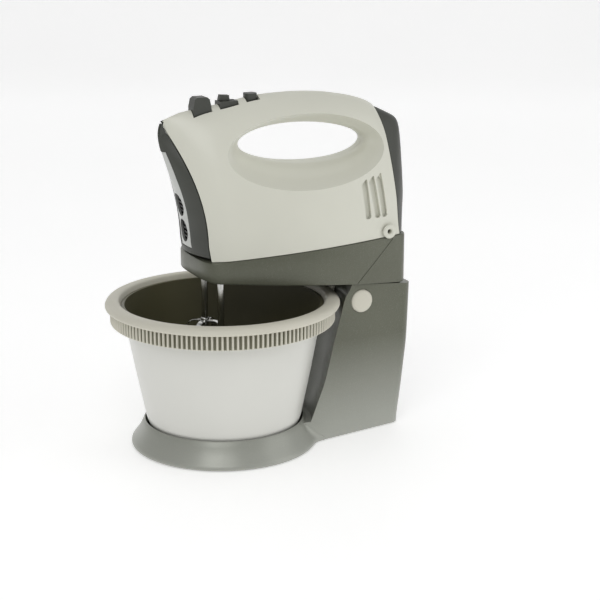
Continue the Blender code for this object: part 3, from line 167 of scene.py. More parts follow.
ROOF = smooth_curve(ROOF_POINTS)
REAR_BORDER = smooth_curve(REAR_BORDER_POINTS)
REAR_FACE = smooth_curve(REAR_FACE_POINTS)
NOSE_LEVELS = spaced(NOSE_FOOT_Z, NOSE_TIP_Z, 97)
FRONT_BORDER = [(border_x(z), z) for z in NOSE_LEVELS]
NOSE_FRONT = [(nose_x(z), z) for z in NOSE_LEVELS]


def x_at(points, z):
    """The line's x at height z."""
    return float(np.interp(z, [p[1] for p in points], [p[0] for p in points]))


def belly(x):
    """Half-width of the casing's widest section at x, narrowing faster in front of the spindles."""
    nose = NOSE_TAPER * max(0.0, NOSE_START_X - x) ** 2
    return BELLY_HALF_WIDTH - BELLY_TAPER * (x - BELLY_MIDDLE_X) ** 2 - nose


def underside(x):
    return UNDERSIDE_Z + UNDERSIDE_SLOPE * (x - UNDERSIDE_X)


def roof(x):
    return float(np.interp(x, [p[0] for p in ROOF], [p[1] for p in ROOF]))


def side(x, z):
    """Half-width of the casing at a place in its side view."""
    rise = min(max((z - underside(x)) / (roof(x) - underside(x)), 0.0), 1.0)
    return belly(x) * (1 - rise ** 2.2) ** 0.6


def along(points, count):
    """Evenly spaced points on a line, without its last one."""
    pts = np.array(points, float)
    run = np.concatenate([[0], np.cumsum(np.linalg.norm(np.diff(pts, axis=0), axis=1))])
    want = np.arange(count) * run[-1] / count
    return [(float(np.interp(w, run, pts[:, 0])), float(np.interp(w, run, pts[:, 1]))) for w in want]


def grid_faces(rows, columns, closed=False, both=False):
    faces = []
    for r in range(rows if both else rows - 1):
        for c in range(columns if closed else columns - 1):
            a, b = r * columns + c, r * columns + (c + 1) % columns
            up = ((r + 1) % rows - r) * columns
            faces.append((a, b, b + up, a + up))
    return faces


def new_object(name, verts, faces, finish=None):
    """A mesh in the row frame from layout points in millimetres."""
    mesh = bpy.data.meshes.new(name)
    mesh.from_pydata([((x + AXIS_SHIFT) * MM, y * MM, z * MM) for x, y, z in verts], [], faces)
    work = bmesh.new()
    work.from_mesh(mesh)
    bmesh.ops.remove_doubles(work, verts=work.verts, dist=1e-7)
    bmesh.ops.recalc_face_normals(work, faces=work.faces)
    work.to_mesh(mesh)
    work.free()
    obj = bpy.data.objects.new(name, mesh)
    bpy.context.scene.collection.objects.link(obj)
    if finish:
        mesh.materials.append(finish)
    return obj


def bake_modifiers(obj):
    """Replaces the mesh with its modified result."""
    bpy.context.view_layer.update()
    result = bpy.data.meshes.new_from_object(obj.evaluated_get(bpy.context.evaluated_depsgraph_get()))
    obj.modifiers.clear()
    obj.data = result
    return obj


def boolean(obj, tool, operation="DIFFERENCE"):
    step = obj.modifiers.new("cut", "BOOLEAN")
    step.operation, step.object, step.solver = operation, tool, "EXACT"
    bake_modifiers(obj)
    bpy.data.objects.remove(tool)
    return obj


def shell(obj, wall):
    step = obj.modifiers.new("wall", "SOLIDIFY")
    step.thickness, step.offset, step.use_even_offset = wall * MM, -1.0, False
    return bake_modifiers(obj)


def soften(obj, width=0.6, segments=3, angle=35):
    """Rounds the edges as a mould would, and shades the faces smooth."""
    step = obj.modifiers.new("edges", "BEVEL")
    step.width, step.segments = width * MM, segments
    step.limit_method, step.angle_limit = "ANGLE", math.radians(angle)
    step.harden_normals = True
    obj.data.shade_smooth()
    obj.data.set_sharp_from_angle(angle=math.radians(50))
    return obj


def stack(levels):
    """Closed solid through rings of equal length, capped at both ends."""
    size = len(levels[0])
    verts = [point for level in levels for point in level]
    faces = [tuple(reversed(range(size))), tuple(range(len(verts) - size, len(verts)))]
    return verts, faces + grid_faces(len(levels), size, True)


def block(low, high, name="block"):
    corners = [(low[0], low[1]), (high[0], low[1]), (high[0], high[1]), (low[0], high[1])]
    return new_object(name, *stack([[(x, y, z) for x, y in corners] for z in (low[2], high[2])]))


def lathe(name, outline, centre, steps, finish=None, axis="Z", mirror_y=False):
    """Solid of revolution of a closed outline of (radius, height)."""
    verts = []
    for radius, height in outline:
        for i in range(steps):
            turn = 2 * math.pi * i / steps
            p = (radius * math.cos(turn), radius * math.sin(turn), height)
            if axis == "Y":
                p = (p[0], p[2] * (-1 if mirror_y else 1), p[1])
            verts.append((p[0] + centre[0], p[1] + centre[1], p[2] + centre[2]))
    closed = outline[0][0] > 0
    return new_object(name, verts, grid_faces(len(outline), steps, True, closed), finish)


def rounded(points, radius, steps=4, closed=True):
    """The outline with its corners turned into short arcs."""
    out, count = [], len(points)
    for i, point in enumerate(points):
        b = Vector(point)
        if not closed and i in (0, count - 1):
            out.append(tuple(b))
            continue
        a, c = Vector(points[i - 1]), Vector(points[(i + 1) % count])
        reach = min(radius, (a - b).length * 0.45, (c - b).length * 0.45)
        start, end = b + (a - b).normalized() * reach, b + (c - b).normalized() * reach
        for k in range(steps + 1):
            t = k / steps
            out.append(tuple(start * (1 - t) ** 2 + b * 2 * t * (1 - t) + end * t * t))
    return out


def arc(centre, radius, start, end, steps):
    turns = [math.radians(start + (end - start) * i / steps) for i in range(steps + 1)]
    return [(centre[0] + radius * math.cos(t), centre[1] + radius * math.sin(t)) for t in turns]


def show(obj, body, slot_name, *nodes):
    """Ties a finished piece to its body and hides the CAD nodes that it stands for; the material slot name is
    not used.
    """
    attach(obj, body)
    if nodes:
        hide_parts(*nodes)
    return obj


# --- materials ----------------------------------------------------------------------------------------
class Finish:
    """A node material on the Principled shader, with grain, tone changes and fine scuffs."""

    def __init__(self, name, colour, roughness, metallic=0.0, **sockets):
        self.material = bpy.data.materials.new(name)
        self.material.use_nodes = True
        self.tree = self.material.node_tree
        self.shader = self.tree.nodes["Principled BSDF"]
        self.shader.inputs["Metallic"].default_value = metallic
        for key, value in sockets.items():
            self.shader.inputs[key.replace("_", " ")].default_value = value
        self.place = self.tree.nodes.new("ShaderNodeTexCoord").outputs["Object"]
        self.colour, self.roughness = colour, roughness

    def noise(self, scale, detail=4.0, stretch=None):
        place = self.place
        if stretch:
            mapping = self.tree.nodes.new("ShaderNodeMapping")
            mapping.inputs["Scale"].default_value = stretch
            self.tree.links.new(place, mapping.inputs["Vector"])
            place = mapping.outputs["Vector"]
        node = self.tree.nodes.new("ShaderNodeTexNoise")
        node.inputs["Scale"].default_value = scale
        node.inputs["Detail"].default_value = detail
        self.tree.links.new(place, node.inputs["Vector"])
        return node.outputs["Fac"]

    def spread(self, value, low, high, from_low=0.3, from_high=0.7):
        node = self.tree.nodes.new("ShaderNodeMapRange")
        limits = (("From Min", from_low), ("From Max", from_high), ("To Min", low), ("To Max", high))
        for key, number in limits:
            node.inputs[key].default_value = number
        self.tree.links.new(value, node.inputs["Value"])
        return node.outputs["Result"]

    def blend(self, share, first, second):
        node = self.tree.nodes.new("ShaderNodeMix")
        node.data_type = "RGBA"
        self.tree.links.new(share, node.inputs["Factor"])
        for socket, value in ((node.inputs[6], first), (node.inputs[7], second)):
            if isinstance(value, tuple):
                socket.default_value = (*value, 1.0)
            else:
                self.tree.links.new(value, socket)
        return node.outputs[2]

    def tone(self, amount, scale=14.0):
        """Slow change of tone over the piece."""
        dark = tuple(c * (1 - amount) for c in self.colour)
        light = tuple(min(1.0, c * (1 + amount)) for c in self.colour)
        return self.blend(self.spread(self.noise(scale, 3.0), 0.0, 1.0), dark, light)

    def done(self, colour, grain_scale, grain_depth, rough_change=0.05, stretch=None):
        links = self.tree.links
        links.new(colour, self.shader.inputs["Base Color"])
        rough = self.spread(self.noise(60.0, 5.0, stretch), self.roughness - rough_change,
                            self.roughness + rough_change)
        links.new(rough, self.shader.inputs["Roughness"])
        bump = self.tree.nodes.new("ShaderNodeBump")
        bump.inputs["Strength"].default_value = 0.5
        bump.inputs["Distance"].default_value = grain_depth * MM
        links.new(self.noise(grain_scale, 6.0, stretch), bump.inputs["Height"])
        links.new(bump.outputs["Normal"], self.shader.inputs["Normal"])
        return self.material


def plastic(name, colour, roughness, tone=0.03, grain=(1400.0, 0.05), metallic=0.0, coat=0.0):
    finish = Finish(name, colour, roughness, metallic, Coat_Weight=coat, Coat_Roughness=0.2)
    return finish.done(finish.tone(tone), *grain)


def metal(name, colour, roughness, stretch=None, tone=0.05):
    finish = Finish(name, colour, roughness, 1.0)
    return finish.done(finish.tone(tone, 40.0), 900.0, 0.02, 0.06, stretch)


def pearl_grey(name, painted_foot_light, high_colour, low_z, high_z, roughness):
    """Silver-grey pearl plastic with fine metallic flake; paler towards the foot as painted light from the
    floor, darker upwards as painted shade.
    """
    finish = Finish(name, high_colour, roughness, 0.25, Coat_Weight=0.15, Coat_Roughness=0.25)
    split = finish.tree.nodes.new("ShaderNodeSeparateXYZ")
    finish.tree.links.new(finish.place, split.inputs["Vector"])
    # Painted light and shade: the colour runs from pale at the foot to dark higher up, standing in for the
    # floor's bounce light and the shade above.
    height = finish.spread(split.outputs["Z"], 0.0, 1.0, low_z * MM, high_z * MM)
    body = finish.blend(height, painted_foot_light, finish.tone(0.05, 18.0))
    flake = finish.spread(finish.noise(2600.0, 2.0), 0.0, 0.12, 0.55, 0.75)
    return finish.done(finish.blend(flake, body, (0.85, 0.85, 0.82)), 1500.0, 0.04, 0.05)


# --- casing -------------------------------------------------------------------------------------------
def casing_border():
    """The half casing's outline in side view: underside, rear border, roof and front border."""
    low = [(FRONT_BORDER[0][0], underside(FRONT_BORDER[0][0])), (147.6, underside(147.6))]
    rear = [low[1]] + [(x - GAP, z) for x, z in REAR_BORDER[4:]]
    top = [rear[-1]] + [p for p in reversed(ROOF) if -50.5 < p[0] < 135.5] + [FRONT_BORDER[-1]]
    front = list(reversed(FRONT_BORDER))
    front[-1] = low[0]
    return along(low, 84) + along(rear, 56) + along(top, 96) + along(front, 56)


def on_ellipse(point, centre, half, tilt=0.0):
    """The point of a slightly tilted ellipse that lies in the given point's direction."""
    turn = math.atan2((point[1] - centre[1]) / half[1], (point[0] - centre[0]) / half[0])
    x = half[0] * math.cos(turn)
    return centre[0] + x, centre[1] + half[1] * math.sin(turn) + tilt * x


def cove_rise(out):
    """Height of the recess between the throat and its rim, from the cove's points, smoothed."""
    xs, ys = zip(*COVE)
    window = [out + 0.06 * k / 4 * min(1.0, out * 8) for k in range(-4, 5)]
    return float(np.mean([np.interp(min(max(w, 0.0), 1.0), xs, ys) for w in window]))


def casing_surface():
    """Rows of points from the hole's throat, up the cove to its rim, and out to the border."""
    border = casing_border()
    throat = [on_ellipse(p, HOLE_CENTRE, HOLE_HALF, HOLE_TILT) for p in border]
    rim = [on_ellipse(p, RECESS_CENTRE, RECESS_HALF) for p in border]
    rows = [[(x, PARTING, z) for x, z in throat]]
    for out in (0.006, 0.014, 0.026, 0.04, 0.06, 0.09, 0.13, 0.18, 0.24, 0.32, 0.4, 0.48, 0.56, 0.64, 0.72,
                0.8, 0.88, 0.94, 0.975, 1.0):
        rise = cove_rise(out) if out < 1 else 1.0
        rows.append([(x0 + (x1 - x0) * out, max(rise * side(x1, z1), PARTING), z0 + (z1 - z0) * out)
                     for (x0, z0), (x1, z1) in zip(throat, rim)])
    for out in (0.02, 0.06, 0.12, 0.2, 0.28, 0.36, 0.44, 0.52, 0.6, 0.68, 0.76, 0.84, 0.9, 0.95, 0.98, 1.0):
        row = []
        for (x0, z0), (x1, z1) in zip(rim, border):
            x, z = x0 + (x1 - x0) * out, z0 + (z1 - z0) * out
            row.append((x, max(side(x, z), PARTING), z))
        rows.append(row)
    return rows


def vent_cutter(sign, top_x, top_z, foot_x):
    """A slot with a round foot and a slanted top."""
    w = VENT_HALF_WIDTH
    outline = [(foot_x - w, VENT_FOOT_Z + 1.5), (foot_x - w + 1.2, VENT_FOOT_Z),
               (foot_x + w - 1.2, VENT_FOOT_Z), (foot_x + w, VENT_FOOT_Z + 1.5),
               (top_x + w, top_z + 1.8), (top_x + w - 1.0, top_z + 2.4),
               (top_x - w + 0.6, top_z - 1.4), (top_x - w, top_z - 2.6)]
    low, high = sorted((sign * 30.0, sign * 52.0))
    return new_object("vent", *stack([[(x, y, z) for x, z in outline] for y in (low, high)]))


def make_casing(sign, name, finish, slot_name):
    rows = casing_surface()
    verts = [(x, sign * y, z) for row in rows for x, y, z in row]
    obj = new_object(f"looks_{name}", verts, grid_faces(len(rows), len(rows[0]), True), finish)
    outward = sum(p.normal.y * sign for p in obj.data.polygons)
    if outward < 0:
        obj.data.flip_normals()
    shell(obj, WALL)
    for vent in VENTS:
        boolean(obj, vent_cutter(sign, *vent))
    for x, half in WINDOWS:
        boolean(obj, block((x - half, -WINDOW_HALF_Y, 268), (x + half, WINDOW_HALF_Y, 300)))
    if sign < 0:
        face = side(BUSH_X, BUSH_Z)
        hole = [(0, face - 6), (BUSH_HOLE, face - 6), (BUSH_HOLE, face + 6), (0, face + 6)]
        boolean(obj, lathe("bush", hole, (BUSH_X, 0, BUSH_Z), 32, axis="Y", mirror_y=True))
    keep_inside(obj, sign)
    soften(obj, 0.35, 2, 45)
    return show(obj, "mixer", slot_name, name)


def keep_inside(obj, sign):
    """Holds the inner skin on its own side of the parting plane."""
    for vert in obj.data.vertices:
        if sign * vert.co.y < PARTING * MM:
            vert.co.y = sign * PARTING * MM


def end_surface(border, face, levels, columns, fullness=2):
    """Points over the nose or the rear: plan sections run from the border round to a blunt end face."""
    verts = []
    for z in levels:
        edge_x, end_x = x_at(border, z), x_at(face, z)
        half = max(side(edge_x, z), 0.6)
        for w in columns(z, half):
            verts.append((end_x + (edge_x - end_x) * abs(w) ** fullness, half * w, z))
    return verts


def panel_half_width(z):
    """Half-width of the silver nose panel, narrower towards its top."""
    return PANEL_HALF_WIDTH - PANEL_TAPER * max(0.0, (z - PANEL_TAPER_Z) / 50) ** 1.6


def face_outwards(obj, x_sign):
    """Turns an open sheet's faces towards -X or +X, so that its wall grows inwards."""
    if sum(p.normal.x * x_sign * p.area for p in obj.data.polygons) < 0:
        obj.data.flip_normals()
    return obj


def make_nose(dark, silver, black):
    """Dark frame round the nose, and the silver panel with its two oval openings."""
    border = [(x - NOSE_GAP, z) for x, z in FRONT_BORDER]
    levels = sorted(set(spaced(NOSE_LOW, PANEL_LOW, 5) + spaced(PANEL_LOW, PANEL_HIGH, 41)
                        + spaced(PANEL_HIGH, NOSE_HIGH, 15)))

    def frame_columns(z, half):
        inner = min(panel_half_width(min(z, PANEL_HIGH)) / half, 0.8)
        flank = spaced(inner, 1.0, 13)
        return [-w for w in reversed(flank)] + spaced(-inner, inner, 11)[1:-1] + flank

    verts = end_surface(border, NOSE_FRONT, levels, frame_columns)
    width = 13 + 9 + 13
    faces = []
    for face in grid_faces(len(levels), width):
        row, column = divmod(face[0], width)
        if not (12 <= column <= 21 and PANEL_LOW - 0.01 <= levels[row] < PANEL_HIGH - 0.01):
            faces.append(face)
    frame = face_outwards(new_object("looks_nose_frame", verts, faces, dark), -1)
    shell(frame, WALL)
    show(soften(frame, 0.5, 3, 45), "mixer", "charcoal", "nose_frame")

    face = [(x + 0.5, z) for x, z in NOSE_FRONT]

    def panel_columns(z, half):
        inner = min((panel_half_width(z) - 0.5) / half, 0.79)
        return spaced(-inner, inner, 25)

    levels = spaced(PANEL_LOW + 0.4, PANEL_HIGH - 0.4, 41)
    panel = new_object("looks_nose_panel", end_surface(border, face, levels, panel_columns),
                       grid_faces(41, 25), silver)
    shell(face_outwards(panel, -1), PANEL_WALL)
    for z in GRILLE_CENTRES:
        turns = [2 * math.pi * i / 48 for i in range(48)]
        ring = [(OVAL_HALF_WIDTH * math.cos(t), z + OVAL_HALF_HEIGHT * math.sin(t)) for t in turns]
        boolean(panel, new_object("oval", *stack([[(x, y, h) for y, h in ring] for x in (-60, -20)])))
    show(soften(panel, 0.4, 3, 45), "mixer", "silver", "nose_panel")
    make_grille(border, black)


def make_grille(border, black):
    """Sunk grille plate: level bars across both ovals."""
    face = [(x + 2.6, z) for x, z in NOSE_FRONT]
    levels = spaced(GRILLE_LOW, GRILLE_HIGH, 30)
    grille = new_object("looks_nose_grille",
                        end_surface(border, face, levels, lambda z, half: spaced(-0.37, 0.37, 15)),
                        grid_faces(30, 15), black)
    shell(face_outwards(grille, -1), GRILLE_WALL)
    for centre in GRILLE_CENTRES:
        for step in range(-2, 3):
            z = centre + GRILLE_PITCH * step
            half = GRILLE_HALF_WIDTH * math.sqrt(1 - (abs(step) / 3.1) ** 2)
            boolean(grille, block((-60, -half, z - GRILLE_HALF_SLOT), (-20, half, z + GRILLE_HALF_SLOT)))
    show(soften(grille, 0.25, 2, 45), "mixer", "black", "nose_grille")


def make_rear_cover(dark):
    border = [(x + GAP, z) for x, z in REAR_BORDER]
    columns = [math.sin(math.pi / 2 * w) for w in spaced(-1, 1, 41)]
    verts = end_surface(border, REAR_FACE, spaced(171.5, 273.5, 61), lambda z, half: columns, 3)
    cover = face_outwards(new_object("looks_rear_cover", verts, grid_faces(61, 41), dark), 1)
    shell(cover, WALL)
    show(soften(cover, 0.6, 3, 45), "mixer", "charcoal", "rear_cover")


def make_bush(finish):
    face = side(BUSH_X, BUSH_Z)
    ring = rounded([(1.9, face - 1.9), (2.9, face - 1.9), (2.9, face + 2.2), (6.0, face + 2.2),
                    (6.0, face + 3.2), (5.0, face + 3.8), (2.6, face + 3.8), (1.9, face + 3.0)], 0.5)
    bush = lathe("looks_cord_bush", ring, (BUSH_X, 0, BUSH_Z), 64, finish, "Y", True)
    show(soften(bush, 0.1, 1, 60), "mixer", "casing_cream", "cord_bush")


# --- beaters ------------------------------------------------------------------------------------------
def beater_path():
    """Centre line of one strip as (radius, height), from the collar down to the foot."""
    low, high = BEATER_BOTTOM + 1.5, BASKET_TOP + 1
    points = [(2.4, high), (BASKET_RADIUS * 0.55, high - 1), (BASKET_RADIUS * 0.9, high - 9),
              (BASKET_RADIUS, high - 22), (BASKET_RADIUS * 0.96, high - 46), (BASKET_RADIUS * 0.72, low + 12),
              (BASKET_RADIUS * 0.35, low + 3), (2.4, low + 2)]
    return smooth_curve(points, 7)


def make_beater(name, sign, finish):
    """Turned shank with four bent strips that have rounded edges."""
    x0, y0 = SPINDLE_X, sign * SPINDLE_Y
    shank = [(0, BEATER_BOTTOM), (3.0, BEATER_BOTTOM), (3.4, BEATER_BOTTOM + 0.6), (3.4, BEATER_BOTTOM + 6.5),
             (2.8, BEATER_BOTTOM + 7.4), (2.0, BEATER_BOTTOM + 8), (2.0, BASKET_TOP - 7),
             (3.2, BASKET_TOP - 6.4), (3.6, BASKET_TOP - 6), (3.6, BASKET_TOP + 3),
             (3.3, BASKET_TOP + 3.5), (2.8, BASKET_TOP + 4),
             (2.8, BEATER_TOP - 2), (1.8, BEATER_TOP), (0, BEATER_TOP)]
    pieces = [lathe(f"looks_{name}", shank, (x0, y0, 0), 32, finish)]
    path = beater_path()
    half, thick, corner = STRIP_HALF_WIDTH, STRIP_HALF_THICKNESS, STRIP_CORNER
    section = [(thick, corner - half), (thick, half - corner), (thick - corner, half), (corner - thick, half),
               (-thick, half - corner), (-thick, corner - half), (corner - thick, -half),
               (thick - corner, -half)]
    for blade in range(4):
        turn = math.pi / 2 * blade + (math.pi / 4 if sign > 0 else 0)
        out = Vector((math.cos(turn), math.sin(turn), 0))
        across = Vector((-math.sin(turn), math.cos(turn), 0))
        levels = []
        for i, (r, z) in enumerate(path):
            a, b = path[max(i - 1, 0)], path[min(i + 1, len(path) - 1)]
            run = Vector((b[0] - a[0], b[1] - a[1])).normalized()
            centre = Vector((x0, y0, z)) + out * r
            normal = out * -run.y + Vector((0, 0, run.x))
            levels.append([tuple(centre + normal * s + across * w) for s, w in section])
        pieces.append(new_object("strip", *stack(levels), finish))
    whole = join(pieces)
    whole.data.shade_smooth()
    whole.data.set_sharp_from_angle(angle=math.radians(40))
    return show(whole, name, "beater_chrome", name)


def join(pieces):
    """Puts all meshes into the first object and removes the others."""
    work = bmesh.new()
    for piece in pieces:
        work.from_mesh(piece.data)
    work.to_mesh(pieces[0].data)
    work.free()
    for piece in pieces[1:]:
        bpy.data.objects.remove(piece)
    return pieces[0]


# --- cradle, column and base --------------------------------------------------------------------------
def cradle_top(x):
    return underside(x) - 0.4


def cradle_seam(x):
    return CRADLE_SEAM_Z + CRADLE_SEAM_SLOPE * (x - CRADLE_FRONT_X)


def cradle_half_width(x, inset=0.0):
    return belly(x) + CRADLE_OVERHANG - inset


def cradle_outline(inset):
    """Plan outline: the casing's belly line with a full round front and rounded rear corners."""
    front, rear = CRADLE_FRONT_X + inset, CRADLE_REAR_X - inset
    half = []
    for i in range(24):
        t = math.pi / 2 * i / 24
        x = front + CRADLE_FRONT_ROUND * (1 - math.cos(t) ** 0.6)
        half.append((x, cradle_half_width(front + CRADLE_FRONT_ROUND, inset) * math.sin(t) ** 0.6))
    straight = spaced(front + CRADLE_FRONT_ROUND, rear - CRADLE_REAR_ROUND, 40)
    half += [(x, cradle_half_width(x, inset)) for x in straight]
    for i in range(1, 13):
        t = math.pi / 2 * i / 12
        x = rear - CRADLE_REAR_ROUND + CRADLE_REAR_ROUND * math.sin(t)
        half.append((x, cradle_half_width(x, inset) - 9 * (1 - math.cos(t))))
    return [(x, -y) for x, y in half] + [(x, y) for x, y in reversed(half) if y > 0.01]


def cradle_solid(inset, top, seam, name="cradle", finish=None, soft=0.0):
    """The cradle's outline between two sloping levels, with softened upper and lower edges."""
    levels = [(inset + soft, seam, 0.0), (inset + soft * 0.3, seam, soft * 0.3), (inset, seam, soft)]
    levels += [(inset, top, -soft), (inset + soft * 0.3, top, -soft * 0.3), (inset + soft, top, 0.0)]
    if not soft:
        levels = [levels[0], levels[-1]]
    rings = [[(x, y, edge(x) + lift) for x, y in cradle_outline(i)] for i, edge, lift in levels]
    return new_object(name, *stack(rings), finish)


def prism(outline, low, high):
    return new_object("prism", *stack([[(x, y, z) for x, z in outline] for y in (low, high)]))


def crease(sign):
    """Cutter for the shallow line that carries the column's front edge up the side of the cradle."""
    levels = []
    for x, z in zip(spaced(101.0, 140.0, 14), spaced(131.0, 168.0, 14)):
        face = cradle_half_width(x)
        across = [(x - 0.25, z + 0.25), (x + 0.25, z - 0.25)]
        ring = [(across[0], face - 0.45), (across[1], face - 0.45), (across[1], face + 2),
                (across[0], face + 2)]
        levels.append([(a, sign * y, b) for (a, b), y in ring])
    return new_object("crease", *stack(levels))


def make_cradle(finish):
    """Hollow cradle with its opening for the beaters, the webs that hold the hinge, and the crease."""
    obj = cradle_solid(0.0, cradle_top, cradle_seam, "looks_cradle_shell", finish, 1.4)
    boolean(obj, cradle_solid(WALL, lambda x: cradle_top(x) - 3.0, lambda x: cradle_seam(x) - 20))
    boolean(obj, block((-19.5, -28, 140), (7, 28, 180)))
    corner = arc((HINGE_X, HINGE_Z), HINGE_ARC, -90, 0, 24)
    corner += [(HINGE_X + 30, HINGE_Z), (HINGE_X + 30, HINGE_Z - 30), (HINGE_X, HINGE_Z - 30)]
    boolean(obj, prism(corner, -60, 60))
    for sign in (-1, 1):
        low, high = sorted((sign * 18.9, sign * 26.1))
        boolean(obj, block((140, low, 110), (165, high, 143.5)))
        low, high = sorted((sign * 26.6, sign * 30.4))
        boolean(obj, block((142, low, 130), (152.5, high, 168)), "UNION")
    hole = [(0, -30), (HINGE_HOLE, -30), (HINGE_HOLE, 30), (0, 30)]
    boolean(obj, lathe("hole", hole, (HINGE_X, 0, HINGE_Z), 32, axis="Y"))
    for sign in (-1, 1):
        boolean(obj, crease(sign))
    show(soften(obj, 0.5, 2, 40), "cradle", "stand_grey", "cradle_shell")


def column_half_width(x, z):
    """Narrower towards the rear, and more so at the foot."""
    share = min(max(z / 130.0, 0.0), 1.0)
    return COLUMN_HALF_WIDTH - (0.185 * (1 - share) + 0.09 * share) * max(0.0, x - COLUMN_TAPER_X)


COLUMN_REAR = smooth_curve(COLUMN_REAR_POINTS)


def column_level(z, inset, z_of=None):
    """One level ring of the column, or a sloping one where z_of gives its height."""
    rear = x_at(COLUMN_REAR, z) - inset
    corner = COLUMN_CORNER - inset
    side_x = [45.0, 58.0] + spaced(COLUMN_TAPER_X, rear - corner, 12)
    half = [(x, column_half_width(x, z) - inset) for x in side_x]
    edge = half[-1][1]
    for i in range(1, 13):
        t = math.pi / 2 * i / 12
        half.append((rear - corner + corner * math.sin(t), edge - corner * (1 - math.cos(t))))
    outline = [(x, -y) for x, y in half] + [(x, y) for x, y in reversed(half)]
    return [(x, y, z_of(x) if z_of else z) for x, y in outline]


def column_solid(inset, bottom, top, name="column", finish=None):
    levels = [column_level(z, inset) for z in [bottom] + spaced(8.0, 116.0, 19)]
    levels.append(column_level(126, inset, top))
    return new_object(name, *stack(levels), finish)


def clearance_solid(extra, low):
    """The space that the turning bowl needs, as a turned solid."""
    profile = smooth_curve(CLEARANCE_POINTS, 6)
    outline = [(0, low), (CLEARANCE_POINTS[0][0] + extra, low)] + [(r + extra, z) for r, z in profile]
    return lathe("clearance", outline + [(0, profile[-1][1])], (0, 0, 0), 144)


def gusset(sign):
    """Concave fillet between the round skirt and the foot of the column."""
    levels = []
    rows = ((1.0, 77.9, 15), (3.5, 77.9, 15), (6, 75.9, 14), (9, 73.3, 12), (13, 71.2, 9), (17, 69.2, 5))
    for z, skirt, radius in rows:
        centre_y = COLUMN_HALF_WIDTH + radius
        centre_x = math.sqrt((skirt + radius) ** 2 - centre_y ** 2)
        start = math.atan2(-centre_y, -centre_x)
        turns = [start + (-math.pi / 2 - start) * i / 10 for i in range(11)]
        curve = [(centre_x + radius * math.cos(t), -(centre_y + radius * math.sin(t))) for t in turns]
        curve = [(x, y - 0.05) for x, y in curve]
        ring = curve + [(centre_x + 3, -36.0), (58.0, -33.0), (52.0, -38.0)]
        levels.append([(x, sign * abs(y), z) for x, y in ring])
    return new_object("gusset", *stack(levels))


def column_top(x):
    return cradle_seam(x) - 0.5


def make_stand(finish):
    """Column and base in one shell, hollow inside, with the skirt, the bearings and the hinge ears."""
    obj = column_solid(0.0, 1.0, column_top, "looks_stand_shell", finish)
    boolean(obj, clearance_solid(0.0, LIP_Z - 3.0))
    for sign in (-1, 1):
        boolean(obj, gusset(sign), "UNION")
    well = [(0, -5), (LIP_RADIUS - 0.4, -5), (LIP_RADIUS - 0.4, 60), (0, 60)]
    boolean(obj, lathe("skirt_inside", well, (0, 0, 0), 144))
    cavity = column_solid(WALL + 0.3, -5.0, lambda x: column_top(x) - 3.0)
    boolean(cavity, clearance_solid(WALL + 0.3, -10.0))
    boolean(cavity, block((90, -7, 99.5), (109, 7, 104.5)))
    boolean(obj, cavity)
    pocket = [(0, 105.8), (10.8, 105.8), (10.8, 117.5), (0, 117.5)]
    boolean(obj, lathe("pocket", pocket, (PINION_X, 0, 0), 64))
    skirt = [(SKIRT_RADIUS - 2.6, 1.0), (SKIRT_RADIUS - 0.6, 1.0), (SKIRT_RADIUS, 1.8),
             (SKIRT_RADIUS - 0.1, 3.3), (76.6, 5.2), (73.6, 9), (71.0, 13), (69.2, 17), (67.6, 20.6),
             (LIP_RADIUS, LIP_Z - 0.4),
             (LIP_RADIUS - 0.4, LIP_Z), (LIP_RADIUS - 0.9, LIP_Z - 1), (LIP_RADIUS - 1.2, 6.8), (3.3, 6.8),
             (3.3, 4.6), (LIP_RADIUS + 0.6, 4.6), (70.5, 8)]
    boolean(obj, lathe("skirt", skirt, (0, 0, 0), 180), "UNION")
    boolean(obj, block((96.5, -7.5, 127.5), (112, 7.5, 131.0)), "UNION")
    bearing = [(0, 95), (PINION_BEARING, 95), (PINION_BEARING, 150), (0, 150)]
    boolean(obj, lathe("bearing", bearing, (PINION_X, 0, 0), 32))
    face, radius = column_half_width(BUTTON_X, BUTTON_Z), BUTTON_RADIUS + 0.4
    port = [(0, face - 8), (radius, face - 8), (radius, face + 10), (0, face + 10)]
    boolean(obj, lathe("port", port, (BUTTON_X, 0, BUTTON_Z), 64, axis="Y", mirror_y=True))
    boolean(obj, block((105, -23.5, 120), (115, -11.5, 140)))
    for sign in (-1, 1):
        low, high = sorted((sign * 19.5, sign * 25.5))
        foot = [(HINGE_X - EAR_RADIUS, EAR_FOOT_Z)]
        foot += arc((HINGE_X, HINGE_Z), EAR_RADIUS, 180, 0, 24) + [(HINGE_X + EAR_RADIUS, EAR_FOOT_Z)]
        ear = prism(foot, low, high)
        hole = [(0, low - 5), (HINGE_HOLE, low - 5), (HINGE_HOLE, high + 5), (0, high + 5)]
        boolean(ear, lathe("hole", hole, (HINGE_X, 0, HINGE_Z), 32, axis="Y"))
        boolean(obj, ear, "UNION")
    show(soften(obj, 0.7, 3, 40), "stand", "stand_grey", "stand_shell")


def make_tilt_button(finish):
    face = column_half_width(BUTTON_X, BUTTON_Z)
    cap = [(0, face + 2.4), (BUTTON_RADIUS - 4, face + 2.3), (BUTTON_RADIUS - 1.5, face + 1.9),
           (BUTTON_RADIUS - 0.5, face + 1.3), (BUTTON_RADIUS, face + 0.5), (BUTTON_RADIUS, face - 4),
           (3.0, face - 4), (3.0, 20.5), (0, 20.5)]
    button = lathe("looks_tilt_button", cap, (BUTTON_X, 0, BUTTON_Z), 64, finish, "Y", True)
    show(soften(button, 0.3, 2, 50), "release", "rim_cream", "tilt_button")


